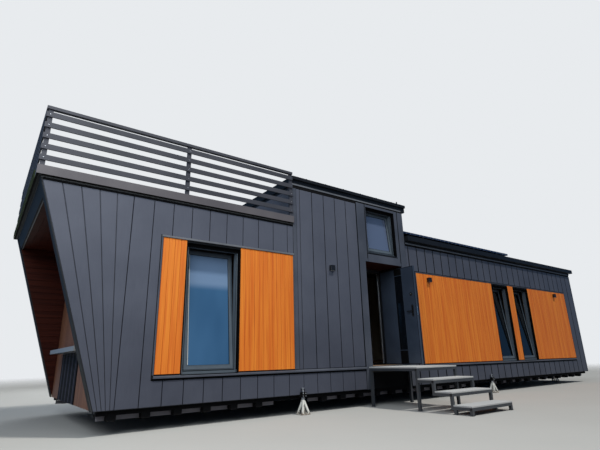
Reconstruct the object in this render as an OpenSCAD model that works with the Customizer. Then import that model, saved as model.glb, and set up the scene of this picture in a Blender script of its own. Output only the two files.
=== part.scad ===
// Tiny house on jack stands: a long clad body with a leaning left end under a roof terrace,
// a taller entry tower with a recessed door, and a long right-hand room with a flat roof.
// Drawn in millimetres, +Z up, front face towards -Y, standing on z = 0.

/* [Body] */
// Length of the left room along its foot, from the front corner to the tower
left_len = 3080; // [2900:20:3600]
// How far the top of the left end leans out past its foot
end_lean = 940; // [600:20:1100]
// Length of the entry tower
tower_len = 3050; // [3000:10:3300]
// Length of the right room
right_len = 8070; // [8000:10:9000]
// Width over the outer faces of the front and back walls
house_w = 3700; // [3200:20:4200]
// Thickness of the outer walls
wall_t = 150; // [120:5:180]
// Height of the walls' underside above the ground
skirt_z = 295; // [280:5:320]
// Height of the floor above the ground
floor_z = 700; // [690:5:720]
// Thickness of the floor
floor_t = 110; // [90:5:130]
// Height of the left room's wall top
left_top = 3225; // [3150:5:3260]
// Height of the right room's wall top
right_top = 3300; // [3200:5:3340]
// Height of the tower's wall top
tower_top = 4020; // [3980:5:4120]

/* [Chassis] */
// Height of the two long steel rails
rail_h = 175; // [140:5:175]
// Width of a rail's flanges
rail_flange = 110; // [80:5:140]
// Thickness of a rail's web and flanges
rail_plate = 10; // [6:1:16]
// Distance from each outer wall face to the middle of its rail
rail_inset = 900; // [700:10:1100]
// Width of a cross member
member_w = 60; // [40:5:80]
// Distance between cross members, about
member_pitch = 600; // [500:10:800]
// Height of the beam under each long wall
edge_beam_h = 60; // [40:5:70]
// Width of the beam under each long wall
edge_beam_w = 110; // [80:5:120]
// Set-back of the edge beams behind the wall faces
edge_beam_in = 60; // [40:5:70]
// Distance from the left foot corner to the middle of the first hanger block
hanger_first = 245; // [150:5:300]
// Length of each hanger block under the edge beams
hanger_len = 115; // [100:5:160]
// Drop of each hanger block below the edge beams
hanger_drop = 70; // [40:5:90]
// Distance between hanger blocks
hanger_pitch = 435; // [420:5:600]

/* [Jack stands] */
// Distance from the tower's left face to the first pair of jack stands
jack_a_in = 120; // [60:10:400]
// Distance from the tower's right face to the second pair
jack_b_in = 2670; // [2500:5:3000]
// Distance from the right end to the pair under the rails
jack_c_in = 260; // [240:10:600]
// Side of a jack stand's square base
jack_base = 165; // [150:5:220]
// Height of a jack stand's welded cone
jack_cone_h = 225; // [200:5:225]
// Radius of the jack screw
jack_screw_r = 16; // [12:1:20]
// Gap between an outer jack's cap and the wall face
jack_gap = 2; // [1:1:20]
// Width of the bracket that holds an outer jack
bracket_w = 90; // [80:5:110]
// Drop of the bracket below the walls' underside
bracket_drop = 33; // [28:1:36]
// Rise of the bracket above the walls' underside
bracket_rise = 45; // [30:5:60]
// Length beside each outer jack that has no hanger block
jack_clear = 400; // [300:10:450]
// Radius of a jack's cap
jack_cap_r = 28; // [22:1:36]
// Radius of a jack's nut
jack_nut_r = 26; // [22:1:32]
// Thickness of a jack's cap
jack_cap_t = 14; // [10:1:18]
// Height of an outer jack's cap above its bracket
jack_cap_up = 55; // [40:5:70]

/* [Leaning end] */
// Height of the fascia over the open end, measured straight up
fascia_h = 205; // [150:5:260]
// Depth of the fascia
fascia_d = 30; // [20:5:60]
// Height of the wood soffit's underside
soffit_z = 3050; // [3020:5:3080]
// Thickness of soffit boards
soffit_t = 30; // [20:2:40]
// Thickness of the wood lining on the two wings
lining_t = 15; // [10:1:25]
// Thickness of the wood-clad end wall
end_wall_t = 120; // [100:5:150]
// Set-back of the end wall behind the foot of the leaning edge
end_wall_in = 15; // [15:1:25]
// Thickness of the metal trim on the leaning edges
edge_trim_t = 10; // [6:1:16]

/* [Serving counter] */
// Height of the counter's top
counter_z = 1110; // [1000:10:1150]
// Thickness of the counter's top
counter_t = 65; // [40:5:80]
// How far the counter's top sticks out
counter_d = 200; // [120:10:210]
// Length of the counter's top
counter_len = 2300; // [1800:20:2500]
// Distance from the front wall face to the near end of the counter's top
counter_y = 600; // [400:20:700]
// Length of the fluted counter front
flute_len = 1550; // [1200:50:1600]
// Distance from the front wall face to the near end of the fluted front
flute_y = 1300; // [1100:10:1300]
// Width of one flute and of one groove
flute_w = 50; // [40:5:60]

/* [Roof terrace] */
// Thickness of the terrace deck
deck_t = 75; // [60:5:90]
// Gap of shadow between the wall top and the kerb's underside
kerb_lift = 25; // [15:5:40]
// Height of the kerb around the terrace
kerb_h = 125; // [100:5:150]
// Width of the kerb
kerb_w = 50; // [40:5:70]
// How far the end kerb stands out past the leaning top
kerb_end_out = 65; // [55:5:90]
// Thickness of the turf fringe on the end kerb
turf_t = 25; // [15:5:40]
// Height of the railing's top above the ground
railing_top = 4250; // [4240:5:4350]
// Height of the railing's top rail
top_rail_h = 45; // [30:5:60]
// Height of a slat
slat_h = 75; // [50:5:90]
// Distance between slats
slat_pitch = 160; // [140:5:160]
// Clear gap between the kerb and the lowest slat
slat_gap = 72; // [50:2:80]
// Thickness of a slat
slat_t = 20; // [12:2:25]
// Width of a railing post
post_w = 60; // [40:5:80]
// Depth of a railing post
post_d = 40; // [30:5:50]

/* [Tower] */
// Distance from the doorway to the tower's right face
doorway_out = 165; // [120:5:260]
// Width of the doorway
doorway_w = 1090; // [1085:5:1100]
// Height of the doorway's soffit above the ground
doorway_top = 2740; // [2735:5:2790]
// Depth of the entry recess to the door frame
recess_d = 600; // [600:5:640]
// Thickness of the recess walls
recess_t = 100; // [80:5:120]
// Thickness of the tower's roof
tower_roof_t = 165; // [120:5:180]
// Overhang of the tower's roof at its right side
tower_eave = 100; // [60:5:120]
// Overhang of the tower's roof at its left side
tower_eave_left = 20; // [10:2:40]
// Overhang of the tower's roof at front and back
tower_lip = 50; // [30:5:50]
// Height of the overhanging edge of the tower's roof
tower_lip_h = 60; // [40:5:70]
// Width of the flat trim left of the doorway
surround_w = 170; // [140:5:200]
// Thickness of the flat trims
surround_t = 15; // [10:1:25]
// Gap between the flat trims and the top of the tower's walls
surround_down = 35; // [25:5:50]
// Width of the shadow gaps beside the flat trim that frames the upper window
surround_gap = 12; // [8:1:14]
// Width of the flat trim left of the upper window
surround_bar = 15; // [12:1:20]
// Width of the upper window's hole
upper_w = 875; // [820:5:880]
// Distance from the doorway's left side to the upper window's hole
upper_in = 95; // [90:5:110]
// Height of the upper window's hole above the ground
upper_z = 2935; // [2930:5:2980]
// Distance from the upper window's hole to the top of the tower's walls
upper_down = 85; // [80:5:120]
// Depth from the tower's front to the upper window's frame
upper_set = 60; // [40:5:70]

/* [Door] */
// Width of the door leaf
leaf_w = 940; // [900:5:945]
// Thickness of the door leaf
leaf_t = 55; // [45:1:57]
// Height of the door leaf
leaf_h = 1975; // [1950:5:1985]
// Gap under the door leaf
leaf_gap = 15; // [10:1:20]
// Width of the door's glass slot
slot_w = 200; // [150:5:220]
// Distance from the leaf's hinge edge to the glass slot
slot_in = 419; // [380:1:430]
// Height of the slot's lower end above the leaf's foot
slot_up = 280; // [250:5:320]
// Height of the glass slot
slot_h = 1530; // [1300:10:1560]
// Thickness of the glass in the slot
door_glass_t = 14; // [8:1:20]
// Radius of the hinge barrels
barrel_r = 7; // [6:0.5:7]
// Radius of the hinge pins
pin_r = 3.5; // [3:0.5:4]
// Height of the lever handle above the leaf's foot
handle_up = 1040; // [900:10:1100]
// Distance from the leaf's free edge to the handle's middle
handle_in = 95; // [70:5:120]
// Length of the lever
lever_len = 125; // [100:5:140]
// Height of the lock knob above the handle
lock_up = 350; // [300:10:400]
// Height of one hinge
hinge_h = 100; // [80:5:120]

/* [Windows and panels] */
// Distance from the left foot corner to the left window
left_win_in = 1095; // [1060:5:1130]
// Width of the left window
left_win_w = 910; // [860:10:940]
// Distance from the tower to the first right window
right_win_in = 3305; // [3290:5:3320]
// Width of each right window
right_win_w = 770; // [700:10:780]
// Distance between the two right windows, start to start
right_win_pitch = 1060; // [1050:5:1080]
// Sill height of the tall windows
win_z = 690; // [690:5:720]
// Height of the tall windows
win_h = 1920; // [1850:10:1930]
// Width of a window frame's face
win_frame = 50; // [40:5:70]
// Set-back of the window frames behind the wall face
win_set = 40; // [20:5:60]
// Depth of the window frames
win_frame_d = 80; // [60:5:90]
// Angle that the sashes are tilted inwards
sash_tilt = 5; // [2:0.5:7]
// Width of a sash's face
sash_w = 55; // [40:5:70]
// Thickness of a sash
sash_t = 50; // [40:2:60]
// Set-back of a sash's foot behind the front of its frame
sash_in = 10; // [5:1:20]
// Thickness of the glass
glass_t = 20; // [16:2:28]
// Thickness of the wood panels
panel_t = 18; // [12:1:24]
// Gap between a wood panel and the window beside it
panel_gap = 10; // [6:1:20]
// Foot of the wood panels above the ground
panel_z = 700; // [690:5:720]
// Top of the wood panels above the ground
panel_top = 2640; // [2600:5:2660]
// Width of the wood panel left of the left window
panel_a_w = 365; // [300:5:380]
// Length of the first wood panel on the right room
panel_c_w = 3000; // [2900:10:3020]
// Distance from the tower to the first wood panel on the right room
panel_c_in = 283; // [280:5:380]
// Length of the last wood panel on the right room
panel_e_w = 2290; // [2200:10:2400]
// Gap between the drip flashings and the wood panels
panel_lift = 5; // [4:1:10]
// Depth of the drip flashings
drip_d = 35; // [25:5:50]
// Thickness of the drip flashings
drip_t = 20; // [12:2:30]
// Side of a wall light
light_w = 100; // [80:5:140]
// How far a wall light stands out
light_d = 60; // [45:5:100]
// Height of the wall lights' middles
light_z = 2500; // [2450:5:2520]
// Distance from the tower's left face to its wall light
light_a_in = 880; // [800:10:950]
// Distance from the tower to the first wall light on the right room
light_b_in = 700; // [650:5:900]
// Distance from the tower to the last wall light
light_c_in = 6700; // [6600:5:6900]

/* [Right roof] */
// Thickness of the right room's roof
roof_t = 140; // [100:5:150]
// Overhang of the right roof at its end
roof_eave = 40; // [20:5:60]
// Width of the gutter
gutter_w = 90; // [70:5:110]
// Height of the gutter
gutter_h = 110; // [80:5:120]
// Thickness of the gutter's sheet
gutter_t = 4; // [3:1:8]
// How far the gutter runs past the wall's end
gutter_past = 100; // [80:5:140]
// Overhang of the roof sheets at front and back
roof_lip = 15; // [10:1:20]
// Distance from the tower to the first solar panel
solar_in = 90; // [60:5:150]
// Width of a solar panel along the roof
solar_w = 1100; // [1000:10:1150]
// Depth of a solar panel across the roof
solar_d = 1650; // [1500:10:1700]
// Gap between solar panels
solar_gap = 20; // [15:5:40]
// Side of a solar panel's rails and feet
solar_rail = 40; // [30:5:40]
// Number of solar panels in each row
solar_n = 4; // [2:1:5]
// Thickness of a solar panel
solar_t = 40; // [30:5:50]
// Height of a solar panel's underside above the roof
solar_up = 120; // [80:5:140]

/* [Landing and steps] */
// Width of the landing and the steps
step_w = 1110; // [1050:10:1300]
// How far the landing reaches past the doorway's left side
landing_over = 100; // [70:5:200]
// Depth of the landing
landing_d = 1130; // [1000:10:1300]
// Height of the landing above the ground
landing_z = 690; // [640:5:690]
// Number of steps below the landing
step_n = 3; // [2:1:3]
// Depth of a step
going = 320; // [280:10:350]
// Height from one step to the next
rise = 185; // [170:5:190]
// Number of boards on the landing
board_n = 8; // [6:1:10]
// Gap between the landing's boards
board_gap = 5; // [4:1:10]
// Thickness of the walking boards
board_t = 22; // [15:1:30]
// Side of the square steel tube of the step frames
tube = 45; // [35:5:50]

/* [Hidden] */

// Clearances
joint = 0.5;          // between separate solids that stand side by side
seat = 0.3;           // between a piece and what carries it
swing_gap = 10;       // beside the door leaf
leaf_hang = 12;       // from the hinge line to the leaf
stop_gap = 6;         // from the closed leaf to the frame's stop
pin_fit = 0.08;       // around the hinge pins

// Places along the house, from the left foot corner
tower_x = left_len;
right_x = tower_x + tower_len;
end_x = right_x + right_len;
door_x1 = right_x - doorway_out;
door_x0 = door_x1 - doorway_w;
inner_back = house_w - wall_t;
inner_left = end_wall_in + end_wall_t;
inner_right = end_x - wall_t;
slope = end_lean / (left_top - skirt_z);
function lean_at(z) = -slope * (z - skirt_z);

// Heights
kerb_z = left_top + kerb_lift;
kerb_top = kerb_z + kerb_h;
rail_z = skirt_z;
member_z = rail_z + rail_h;
member_h = floor_z - floor_t - member_z;
beam_z = skirt_z - edge_beam_h;
bracket_z = skirt_z - bracket_drop;
jack_out = jack_cap_r + jack_gap;
jack_first = tower_x + jack_a_in;
jack_second = right_x + jack_b_in;
jack_third = end_x - jack_c_in;
soffit_top = doorway_top + soffit_t;
recess_top = soffit_top + seat + 60;
roof_z = right_top + roof_t;

// Outer face of the kerb and the railing at the leaning end, and the railings' end at the tower
terrace_out = -end_lean - kerb_end_out;
railing_end = tower_x - tower_eave_left - joint;

// Slats that fit under the top rail
slat_n = floor((railing_top - top_rail_h - kerb_top - slat_gap - slat_h) / slat_pitch) + 1;

// The hinge line of the door
hinge_x = door_x1 - 13;
hinge_y = recess_d - 10;
leaf_z = floor_z + leaf_gap;
frame_y0 = recess_d;
stop_y = hinge_y + leaf_hang + leaf_t + stop_gap;
frame_y1 = stop_y + 38;

// The whole model's box, which puts the origin under its middle
box_x0 = terrace_out - turf_t;
box_x1 = end_x + gutter_past;
box_y0 = -landing_d - step_n * going;
box_y1 = house_w + max(kerb_w, jack_out + jack_base / 2);
mid_x = (box_x0 + box_x1) / 2;
mid_y = (box_y0 + box_y1) / 2;

clad = [0.30, 0.32, 0.36];
timber = [0.80, 0.45, 0.16];
steel_dark = [0.10, 0.10, 0.11];

module in_place() {
    translate([-mid_x, -mid_y, 0]) children();
}

// A box between two corners
module block(x0, x1, y0, y1, z0, z1) {
    translate([x0, y0, z0]) cube([x1 - x0, y1 - y0, z1 - z0]);
}

// An outline drawn in X and Z, given its depth along Y
module side_shape(points, y0, y1) {
    translate([0, y1, 0]) rotate([90, 0, 0]) linear_extrude(height = y1 - y0) polygon(points);
}

// An outline drawn in Y and Z, given its length along X
module long_shape(points, x0, x1) {
    translate([x0, 0, 0]) rotate([90, 0, 90]) linear_extrude(height = x1 - x0) polygon(points);
}

// An outline drawn in X and Y, given its height
module tall_shape(points, z0, z1) {
    translate([0, 0, z0]) linear_extrude(height = z1 - z0) polygon(points);
}

// An upright cylinder of n sides, or a round one past 12, between two heights
module cylinder_up(r, z0, z1, n) {
    translate([0, 0, z0]) cylinder(r = r, h = z1 - z0, $fn = n);
}

// A picture-frame ring standing in the X and Z plane
module ring(x0, x1, y0, y1, z0, z1, w) {
    difference() {
        block(x0, x1, y0, y1, z0, z1);
        block(x0 + w, x1 - w, y0 - 1, y1 + 1, z0 + w, z1 - w);
    }
}

// The same solid at the front and, mirrored, at the back of the house
module both_sides() {
    children();
    translate([0, house_w, 0]) mirror([0, 1, 0]) children();
}

// Chassis

module chassis_rails() {
    f = rail_flange / 2;
    w = rail_plate / 2;
    z0 = rail_z;
    z1 = rail_z + rail_h - seat;
    p = rail_plate;
    beam = [[-f, z0], [f, z0], [f, z0 + p], [w, z0 + p], [w, z1 - p], [f, z1 - p],
        [f, z1], [-f, z1], [-f, z1 - p], [-w, z1 - p], [-w, z0 + p], [-f, z0 + p]];
    color(steel_dark) in_place() both_sides()
        translate([0, rail_inset, 0]) long_shape(beam, inner_left + seat, inner_right - seat);
}

module cross_members() {
    x0 = inner_left + seat;
    run = inner_right - seat - member_w - x0;
    n = round(run / member_pitch);
    color(steel_dark) in_place() for (i = [0:n])
        translate([x0 + i * run / n, wall_t + seat, member_z])
            cube([member_w, house_w - 2 * wall_t - 2 * seat, member_h - seat]);
}

outer_jacks = [jack_first, jack_second];

// Whether a hanger block at x would be too near an outer jack
function near_jack(x) = abs(x - jack_first) < jack_clear || abs(x - jack_second) < jack_clear;

module edge_beams() {
    y0 = edge_beam_in;
    y1 = y0 + edge_beam_w;
    half = bracket_w / 2;
    n = floor((end_x - hanger_first - hanger_len) / hanger_pitch);
    color(steel_dark) in_place() both_sides() difference() {
        union() {
            block(edge_beam_in, end_x - edge_beam_in, y0, y1, beam_z, skirt_z - seat);
            for (i = [0:n])
                let (x = hanger_first + i * hanger_pitch)
                    if (!near_jack(x)) block(x - hanger_len / 2, x + hanger_len / 2, y0, y1,
                        beam_z - hanger_drop, beam_z + 1);
            // Brackets of the outer jacks, up the wall's face and back under it to the beam
            for (x = outer_jacks) {
                block(x - half, x + half, -jack_out - half, -seat, bracket_z, skirt_z + bracket_rise);
                block(x - half, x + half, -seat - 1, y0 + 1, bracket_z, skirt_z - seat);
            }
        }
        for (x = outer_jacks) translate([x, -jack_out, 0])
            cylinder(r = jack_screw_r + joint, h = skirt_z + 2 * bracket_rise, $fn = 32);
    }
}

// Jack stands: four legs from a square base to a socket, and a screw with a cap

module jack_stand(x, y) {
    b = jack_base / 2;
    rim_w = 32;
    plate_t = 14;
    foot = 28;
    head = 18;
    translate([x, y, 0]) {
        difference() {
            translate([-b, -b, 0]) cube([jack_base, jack_base, plate_t]);
            translate([-b + rim_w, -b + rim_w, -1])
                cube([jack_base - 2 * rim_w, jack_base - 2 * rim_w, plate_t + 2]);
        }
        for (a = [0:90:270]) rotate([0, 0, a]) hull() {
            translate([b - foot - 2, b - foot - 2, plate_t - 6]) cube([foot, foot, 5]);
            translate([4, 4, jack_cone_h - 50]) cube([head, head, 40]);
        }
        translate([0, 0, jack_cone_h - 70]) cylinder(r = jack_screw_r + 10, h = 70, $fn = 24);
    }
}

module jack_stands() {
    color([0.86, 0.86, 0.82]) in_place() both_sides() {
        for (x = outer_jacks) jack_stand(x, -jack_out);
        jack_stand(jack_third, rail_inset);
    }
}

// A jack's screw with its cap at height cap_z and, on the outer jacks, a nut under the bracket
module jack_screw(cap_z, nut_z) {
    z0 = jack_cone_h + seat;
    cylinder_up(jack_screw_r, z0, cap_z + 1, 32);
    cylinder_up(jack_cap_r, cap_z, cap_z + jack_cap_t, 32);
    if (nut_z > z0) cylinder_up(jack_nut_r, z0, nut_z, 6);
}

module jack_screws() {
    color([0.45, 0.46, 0.47]) in_place() both_sides() {
        for (x = outer_jacks) translate([x, -jack_out, 0])
            jack_screw(skirt_z + bracket_rise + jack_cap_up, bracket_z - seat);
        translate([jack_third, rail_inset, 0]) jack_screw(rail_z - seat - jack_cap_t, 0);
    }
}

module floor_deck() {
    z0 = floor_z - floor_t;
    color([0.55, 0.42, 0.28]) in_place() {
        block(inner_left + seat, inner_right - seat, wall_t + seat, inner_back - seat, z0, floor_z);
        // Threshold that runs out to the landing through the doorway
        block(door_x0 + seat, door_x1 - seat, -surround_t, wall_t + seat + 1, z0, floor_z);
    }
}

// Left room

module left_wall_outline() {
    polygon([[0, skirt_z], [lean_at(left_top), left_top], [left_len - seat, left_top],
        [left_len - seat, skirt_z]]);
}

module left_wall() {
    translate([0, wall_t, 0]) rotate([90, 0, 0]) linear_extrude(height = wall_t) difference() {
        left_wall_outline();
        translate([left_win_in, win_z]) square([left_win_w, win_h]);
    }
}

module left_front_wall() {
    color(clad) in_place() left_wall();
}

module left_back_wall() {
    color(clad) in_place() translate([0, house_w, 0]) mirror([0, 1, 0]) left_wall();
}

module left_end_wall() {
    color(timber) in_place()
        block(end_wall_in, inner_left, wall_t + seat, inner_back - seat, skirt_z, left_top);
}

module end_frame() {
    low = left_top - fascia_h;
    top_x = lean_at(left_top);
    low_x = lean_at(low);
    t = edge_trim_t;
    color([0.16, 0.17, 0.20]) in_place() {
        // Fascia over the open end
        side_shape([[top_x, left_top], [low_x, low], [low_x + fascia_d, low], [low_x + fascia_d, left_top]],
            wall_t + seat, inner_back - seat);
        // Trim on the leaning edge of each wing
        both_sides() side_shape([[-t - seat, skirt_z], [-seat, skirt_z],
            [top_x - seat, left_top], [top_x - t - seat, left_top]], 0, wall_t);
    }
}

module wood_linings() {
    low = left_top - fascia_h - joint;
    f_x = lean_at(left_top - fascia_h) + fascia_d + seat;
    foot = skirt_z + 40;
    edge = 10;
    in_x = end_wall_in - seat;
    color([0.42, 0.24, 0.13]) in_place() {
        // Soffit under the leaning top
        block(f_x, in_x, wall_t + seat, inner_back - seat, soffit_z, soffit_z + soffit_t);
        // Boards on the inner faces of the two wings
        both_sides() side_shape([[lean_at(foot) + edge, foot], [lean_at(low) + edge, low], [f_x, low],
            [f_x, soffit_z - joint], [in_x, soffit_z - joint], [in_x, foot]],
            wall_t + seat, wall_t + lining_t);
        // Soffit of the entry recess
        block(door_x0 + seat, door_x1 - seat, 0, recess_d - seat, doorway_top, soffit_top);
    }
}

module counter_front() {
    n = floor(flute_len / (2 * flute_w));
    top = counter_z - counter_t - seat;
    skin = 12;
    color([0.12, 0.12, 0.14]) in_place() {
        block(end_wall_in - seat - skin, end_wall_in - seat, flute_y, flute_y + flute_len, skirt_z, top);
        for (i = [0:n - 1])
            block(end_wall_in - seat - 2 * skin, end_wall_in - seat - skin + 1,
                flute_y + (2 * i + 0.5) * flute_w, flute_y + (2 * i + 1.5) * flute_w, skirt_z + 10, top);
    }
}

module counter_top() {
    z0 = counter_z - counter_t;
    y1 = counter_y + counter_len;
    rim_w = 25;
    color([0.88, 0.88, 0.86]) in_place() difference() {
        block(-counter_d, end_wall_in - seat, counter_y, y1, z0, counter_z);
        block(-counter_d + rim_w, -2 * rim_w, counter_y + rim_w, y1 - rim_w, z0 - 1, counter_z - counter_t / 2);
    }
}

// Roof terrace

module terrace_deck() {
    color([0.35, 0.36, 0.36]) in_place()
        block(-end_lean, left_len - seat, 0, house_w, left_top + seat, left_top + deck_t);
}

module terrace_kerb() {
    color([0.34, 0.34, 0.36]) in_place() {
        both_sides() block(terrace_out, left_len - seat, -kerb_w, -seat, kerb_z, kerb_top);
        block(terrace_out, -end_lean - seat, joint, house_w - joint, kerb_z, kerb_top);
    }
}

// Post, slats and top rail of one railing panel that runs along X
// Posts, slats and top rail of a railing along X from x0 to x1, its outer face at y = 0; the top
// rail is shorter than the slats by inset at each end
module railing_panel(x0, x1, posts, inset) {
    depth = slat_t + post_d;
    rail_z0 = railing_top - top_rail_h;
    for (x = posts) block(x, x + post_w, slat_t - 1, depth, kerb_top + seat, rail_z0 + 1);
    for (i = [0:slat_n - 1])
        let (z = kerb_top + slat_gap + i * slat_pitch) block(x0, x1, 0, slat_t, z, z + slat_h);
    block(x0 + inset, x1 - inset, 0, depth, rail_z0, railing_top);
}

module side_railings() {
    first = terrace_out + slat_t + joint;
    last = railing_end - post_w;
    color([0.34, 0.34, 0.36]) in_place() both_sides() translate([0, -kerb_w, 0])
        railing_panel(terrace_out, railing_end, [first, (first + last) / 2, last], 0);
}

module end_railing() {
    y0 = -kerb_w + slat_t + joint;
    y1 = house_w - y0;
    third = (y1 - y0) / 3;
    color([0.34, 0.34, 0.36]) in_place() translate([terrace_out, 0, 0]) rotate([0, 0, 90])
        mirror([0, 1, 0])
            railing_panel(y0, y1, [y0 + third, y1 - third - post_w], post_d + 2);
}

module turf_fringe() {
    drop = 10;
    color([0.20, 0.32, 0.12]) in_place()
        block(terrace_out - turf_t, terrace_out - seat, wall_t, house_w + kerb_w,
            kerb_z - drop, kerb_top - drop);
}

// Entry tower

// The hole of the upper window
upper_x0 = door_x0 + upper_in;
upper_x1 = upper_x0 + upper_w;
upper_z1 = tower_top - upper_down;
upper_h = upper_z1 - upper_z;

module tower_front_left() {
    color(clad) in_place() block(tower_x, door_x0 - seat, 0, wall_t, skirt_z, tower_top);
}

module tower_front_over() {
    color(clad) in_place() difference() {
        block(door_x0, door_x1, 0, wall_t, soffit_top + seat, tower_top);
        block(upper_x0, upper_x1, -1, wall_t + 1, upper_z, upper_z1);
    }
}

module tower_front_right() {
    color(clad) in_place() block(door_x1 + seat, right_x, 0, wall_t, skirt_z, tower_top);
}

module door_skirt() {
    color(clad) in_place()
        block(door_x0, door_x1, 0, wall_t, skirt_z, floor_z - floor_t - seat);
}

module tower_back_wall() {
    color(clad) in_place() block(tower_x, right_x, inner_back, house_w, skirt_z, tower_top);
}

module tower_side_walls() {
    color(clad) in_place() {
        block(tower_x, tower_x + wall_t, wall_t + seat, inner_back - seat, left_top, tower_top);
        block(right_x - wall_t, right_x, wall_t + seat, inner_back - seat, right_top, tower_top);
    }
}

module tower_roof() {
    y0 = -tower_lip;
    y1 = house_w + tower_lip;
    z0 = tower_top + seat;
    z1 = tower_top + tower_roof_t;
    zl = z1 - tower_lip_h;
    color([0.13, 0.13, 0.15]) in_place()
        long_shape([[-roof_lip, z0], [house_w + roof_lip, z0], [house_w + roof_lip, zl], [y1, zl],
            [y1, z1], [y0, z1], [y0, zl], [-roof_lip, zl]],
            tower_x - tower_eave_left, right_x + tower_eave);
}

// Flat trims in three parts: a column left of the doorway that widens over it, a panel with the
// upper window's hole, and a column right of the doorway
module entry_surround() {
    y0 = -surround_t;
    z1 = tower_top - surround_down;
    over_x0 = upper_x0 - surround_bar;
    color([0.28, 0.30, 0.33]) in_place() {
        side_shape([[door_x0 - surround_w, skirt_z], [door_x0 - joint, skirt_z],
            [door_x0 - joint, doorway_top], [over_x0 - surround_gap, doorway_top],
            [over_x0 - surround_gap, z1], [door_x0 - surround_w, z1]], y0, -seat);
        difference() {
            block(over_x0, door_x1 - surround_gap, y0, -seat, doorway_top, z1);
            block(upper_x0, upper_x1, y0 - 1, 1, upper_z, upper_z1);
        }
        block(door_x1, right_x, y0, -seat, skirt_z, z1);
    }
}

module recess_walls() {
    top = soffit_top + seat;
    x0 = door_x0 - recess_t;
    x1 = door_x1 + recess_t;
    y0 = wall_t + seat;
    y1 = recess_d - seat;
    color([0.42, 0.24, 0.13]) in_place() {
        block(x0, door_x0, y0, y1, floor_z + seat, top - joint);
        block(door_x1, x1, y0, y1, floor_z + seat, top - joint);
        block(x0, x1, y0, y1, top, recess_top);
    }
}

// Entry door, drawn standing open at a right angle to the wall

module door_frame() {
    head_z = leaf_z + leaf_h + swing_gap;
    left_face = hinge_x - leaf_hang - leaf_w - swing_gap;
    right_face = hinge_x - 2;
    lip = 22;
    sill_h = 30;
    z0 = floor_z + seat;
    x0 = left_face + lip + joint;
    x1 = right_face - lip - joint;
    color([0.55, 0.57, 0.60]) in_place() {
        // Left and right jambs, each with the lip that the leaf closes against
        tall_shape([[door_x0 - recess_t, frame_y0], [left_face, frame_y0], [left_face, stop_y],
            [left_face + lip, stop_y], [left_face + lip, frame_y1], [door_x0 - recess_t, frame_y1]],
            z0, recess_top);
        tall_shape([[door_x1 + recess_t, frame_y0], [right_face, frame_y0], [right_face, stop_y],
            [right_face - lip, stop_y], [right_face - lip, frame_y1], [door_x1 + recess_t, frame_y1]],
            z0, recess_top);
        // Head, with its lip, and the sill
        block(x0, x1, stop_y, frame_y1, head_z - lip, recess_top);
        block(left_face + joint, right_face - joint, frame_y0, stop_y, head_z, recess_top);
        block(x0, x1, stop_y - 1, stop_y + 1, head_z, recess_top);
        block(x0, x1, stop_y, frame_y1, z0, floor_z + sill_h);
    }
}

// Heights of the three hinges' feet
hinge_end = 160;
hinge_zs = [leaf_z + hinge_end, leaf_z + (leaf_h - hinge_h) / 2, leaf_z + leaf_h - hinge_end - hinge_h];

module door_hinges() {
    half = hinge_h / 2 - joint;
    wing = 14;
    color([0.35, 0.35, 0.37]) in_place() for (z = hinge_zs) translate([hinge_x, hinge_y, z]) {
        cylinder_up(barrel_r, 0, half, 32);
        cylinder_up(pin_r, 0, hinge_h, 32);
        translate([-2, 0, 0]) cube([wing, frame_y0 - hinge_y - seat, half]);
    }
}

// Places a piece drawn on a leaf that runs from the hinge line: u along the leaf from its hinge edge,
// v from its outer face into its thickness, at the open pose
module on_leaf() {
    translate([hinge_x - leaf_hang, hinge_y - leaf_hang, leaf_z]) rotate([0, 0, -90])
        mirror([0, 1, 0]) children();
}

module door_leaf() {
    half = hinge_h / 2;
    b = barrel_r - 1;
    arm = leaf_hang + 8;
    color([0.17, 0.19, 0.24]) in_place() {
        on_leaf() difference() {
            cube([leaf_w, leaf_t, leaf_h]);
            translate([slot_in, -1, slot_up]) cube([slot_w, leaf_t + 2, slot_h]);
        }
        // Upper halves of the hinges, each with an arm to the leaf's corner
        for (z = hinge_zs) translate([hinge_x, hinge_y, z + half]) difference() {
            union() {
                cylinder_up(barrel_r, 0, half, 32);
                tall_shape([[-b, 0], [0, -b], [-leaf_hang, -arm], [-arm, -leaf_hang]], 0, half);
            }
            translate([0, 0, -1]) cylinder_up(pin_r + pin_fit, 0, half + 2, 32);
        }
    }
}

module door_glass() {
    color([0.30, 0.38, 0.45]) in_place() on_leaf()
        translate([slot_in + seat, (leaf_t - door_glass_t) / 2, slot_up + seat])
            cube([slot_w - 2 * seat, door_glass_t, slot_h - 2 * seat]);
}

handle_u = leaf_w - handle_in;

// A lever on its plate, standing off the face at v = 0 towards -v
module lever_set() {
    plate_r = 22;
    plate_h = 240;
    plate_t = 8;
    spindle_r = 10;
    reach = 50;
    foot = handle_up - plate_h / 2 + spindle_r;
    // Plate with round ends
    translate([handle_u - plate_r, -plate_t - seat, foot + plate_r])
        cube([2 * plate_r, plate_t, plate_h - 2 * plate_r]);
    for (z = [foot + plate_r, foot + plate_h - plate_r]) translate([handle_u, -seat, z])
        rotate([90, 0, 0]) cylinder(r = plate_r, h = plate_t, $fn = 32);
    // Spindle and lever
    translate([handle_u, -seat - plate_t + 1, handle_up]) rotate([90, 0, 0])
        cylinder(r = spindle_r, h = reach - plate_t, $fn = 24);
    translate([handle_u + spindle_r, -seat - reach + spindle_r, handle_up]) rotate([0, -90, 0])
        cylinder(r = spindle_r, h = lever_len + spindle_r, $fn = 24);
}

// A round knob on the same face
module lock_knob() {
    translate([handle_u, -seat, handle_up + lock_up]) rotate([90, 0, 0]) cylinder(r = 26, h = 22, $fn = 32);
}

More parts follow.
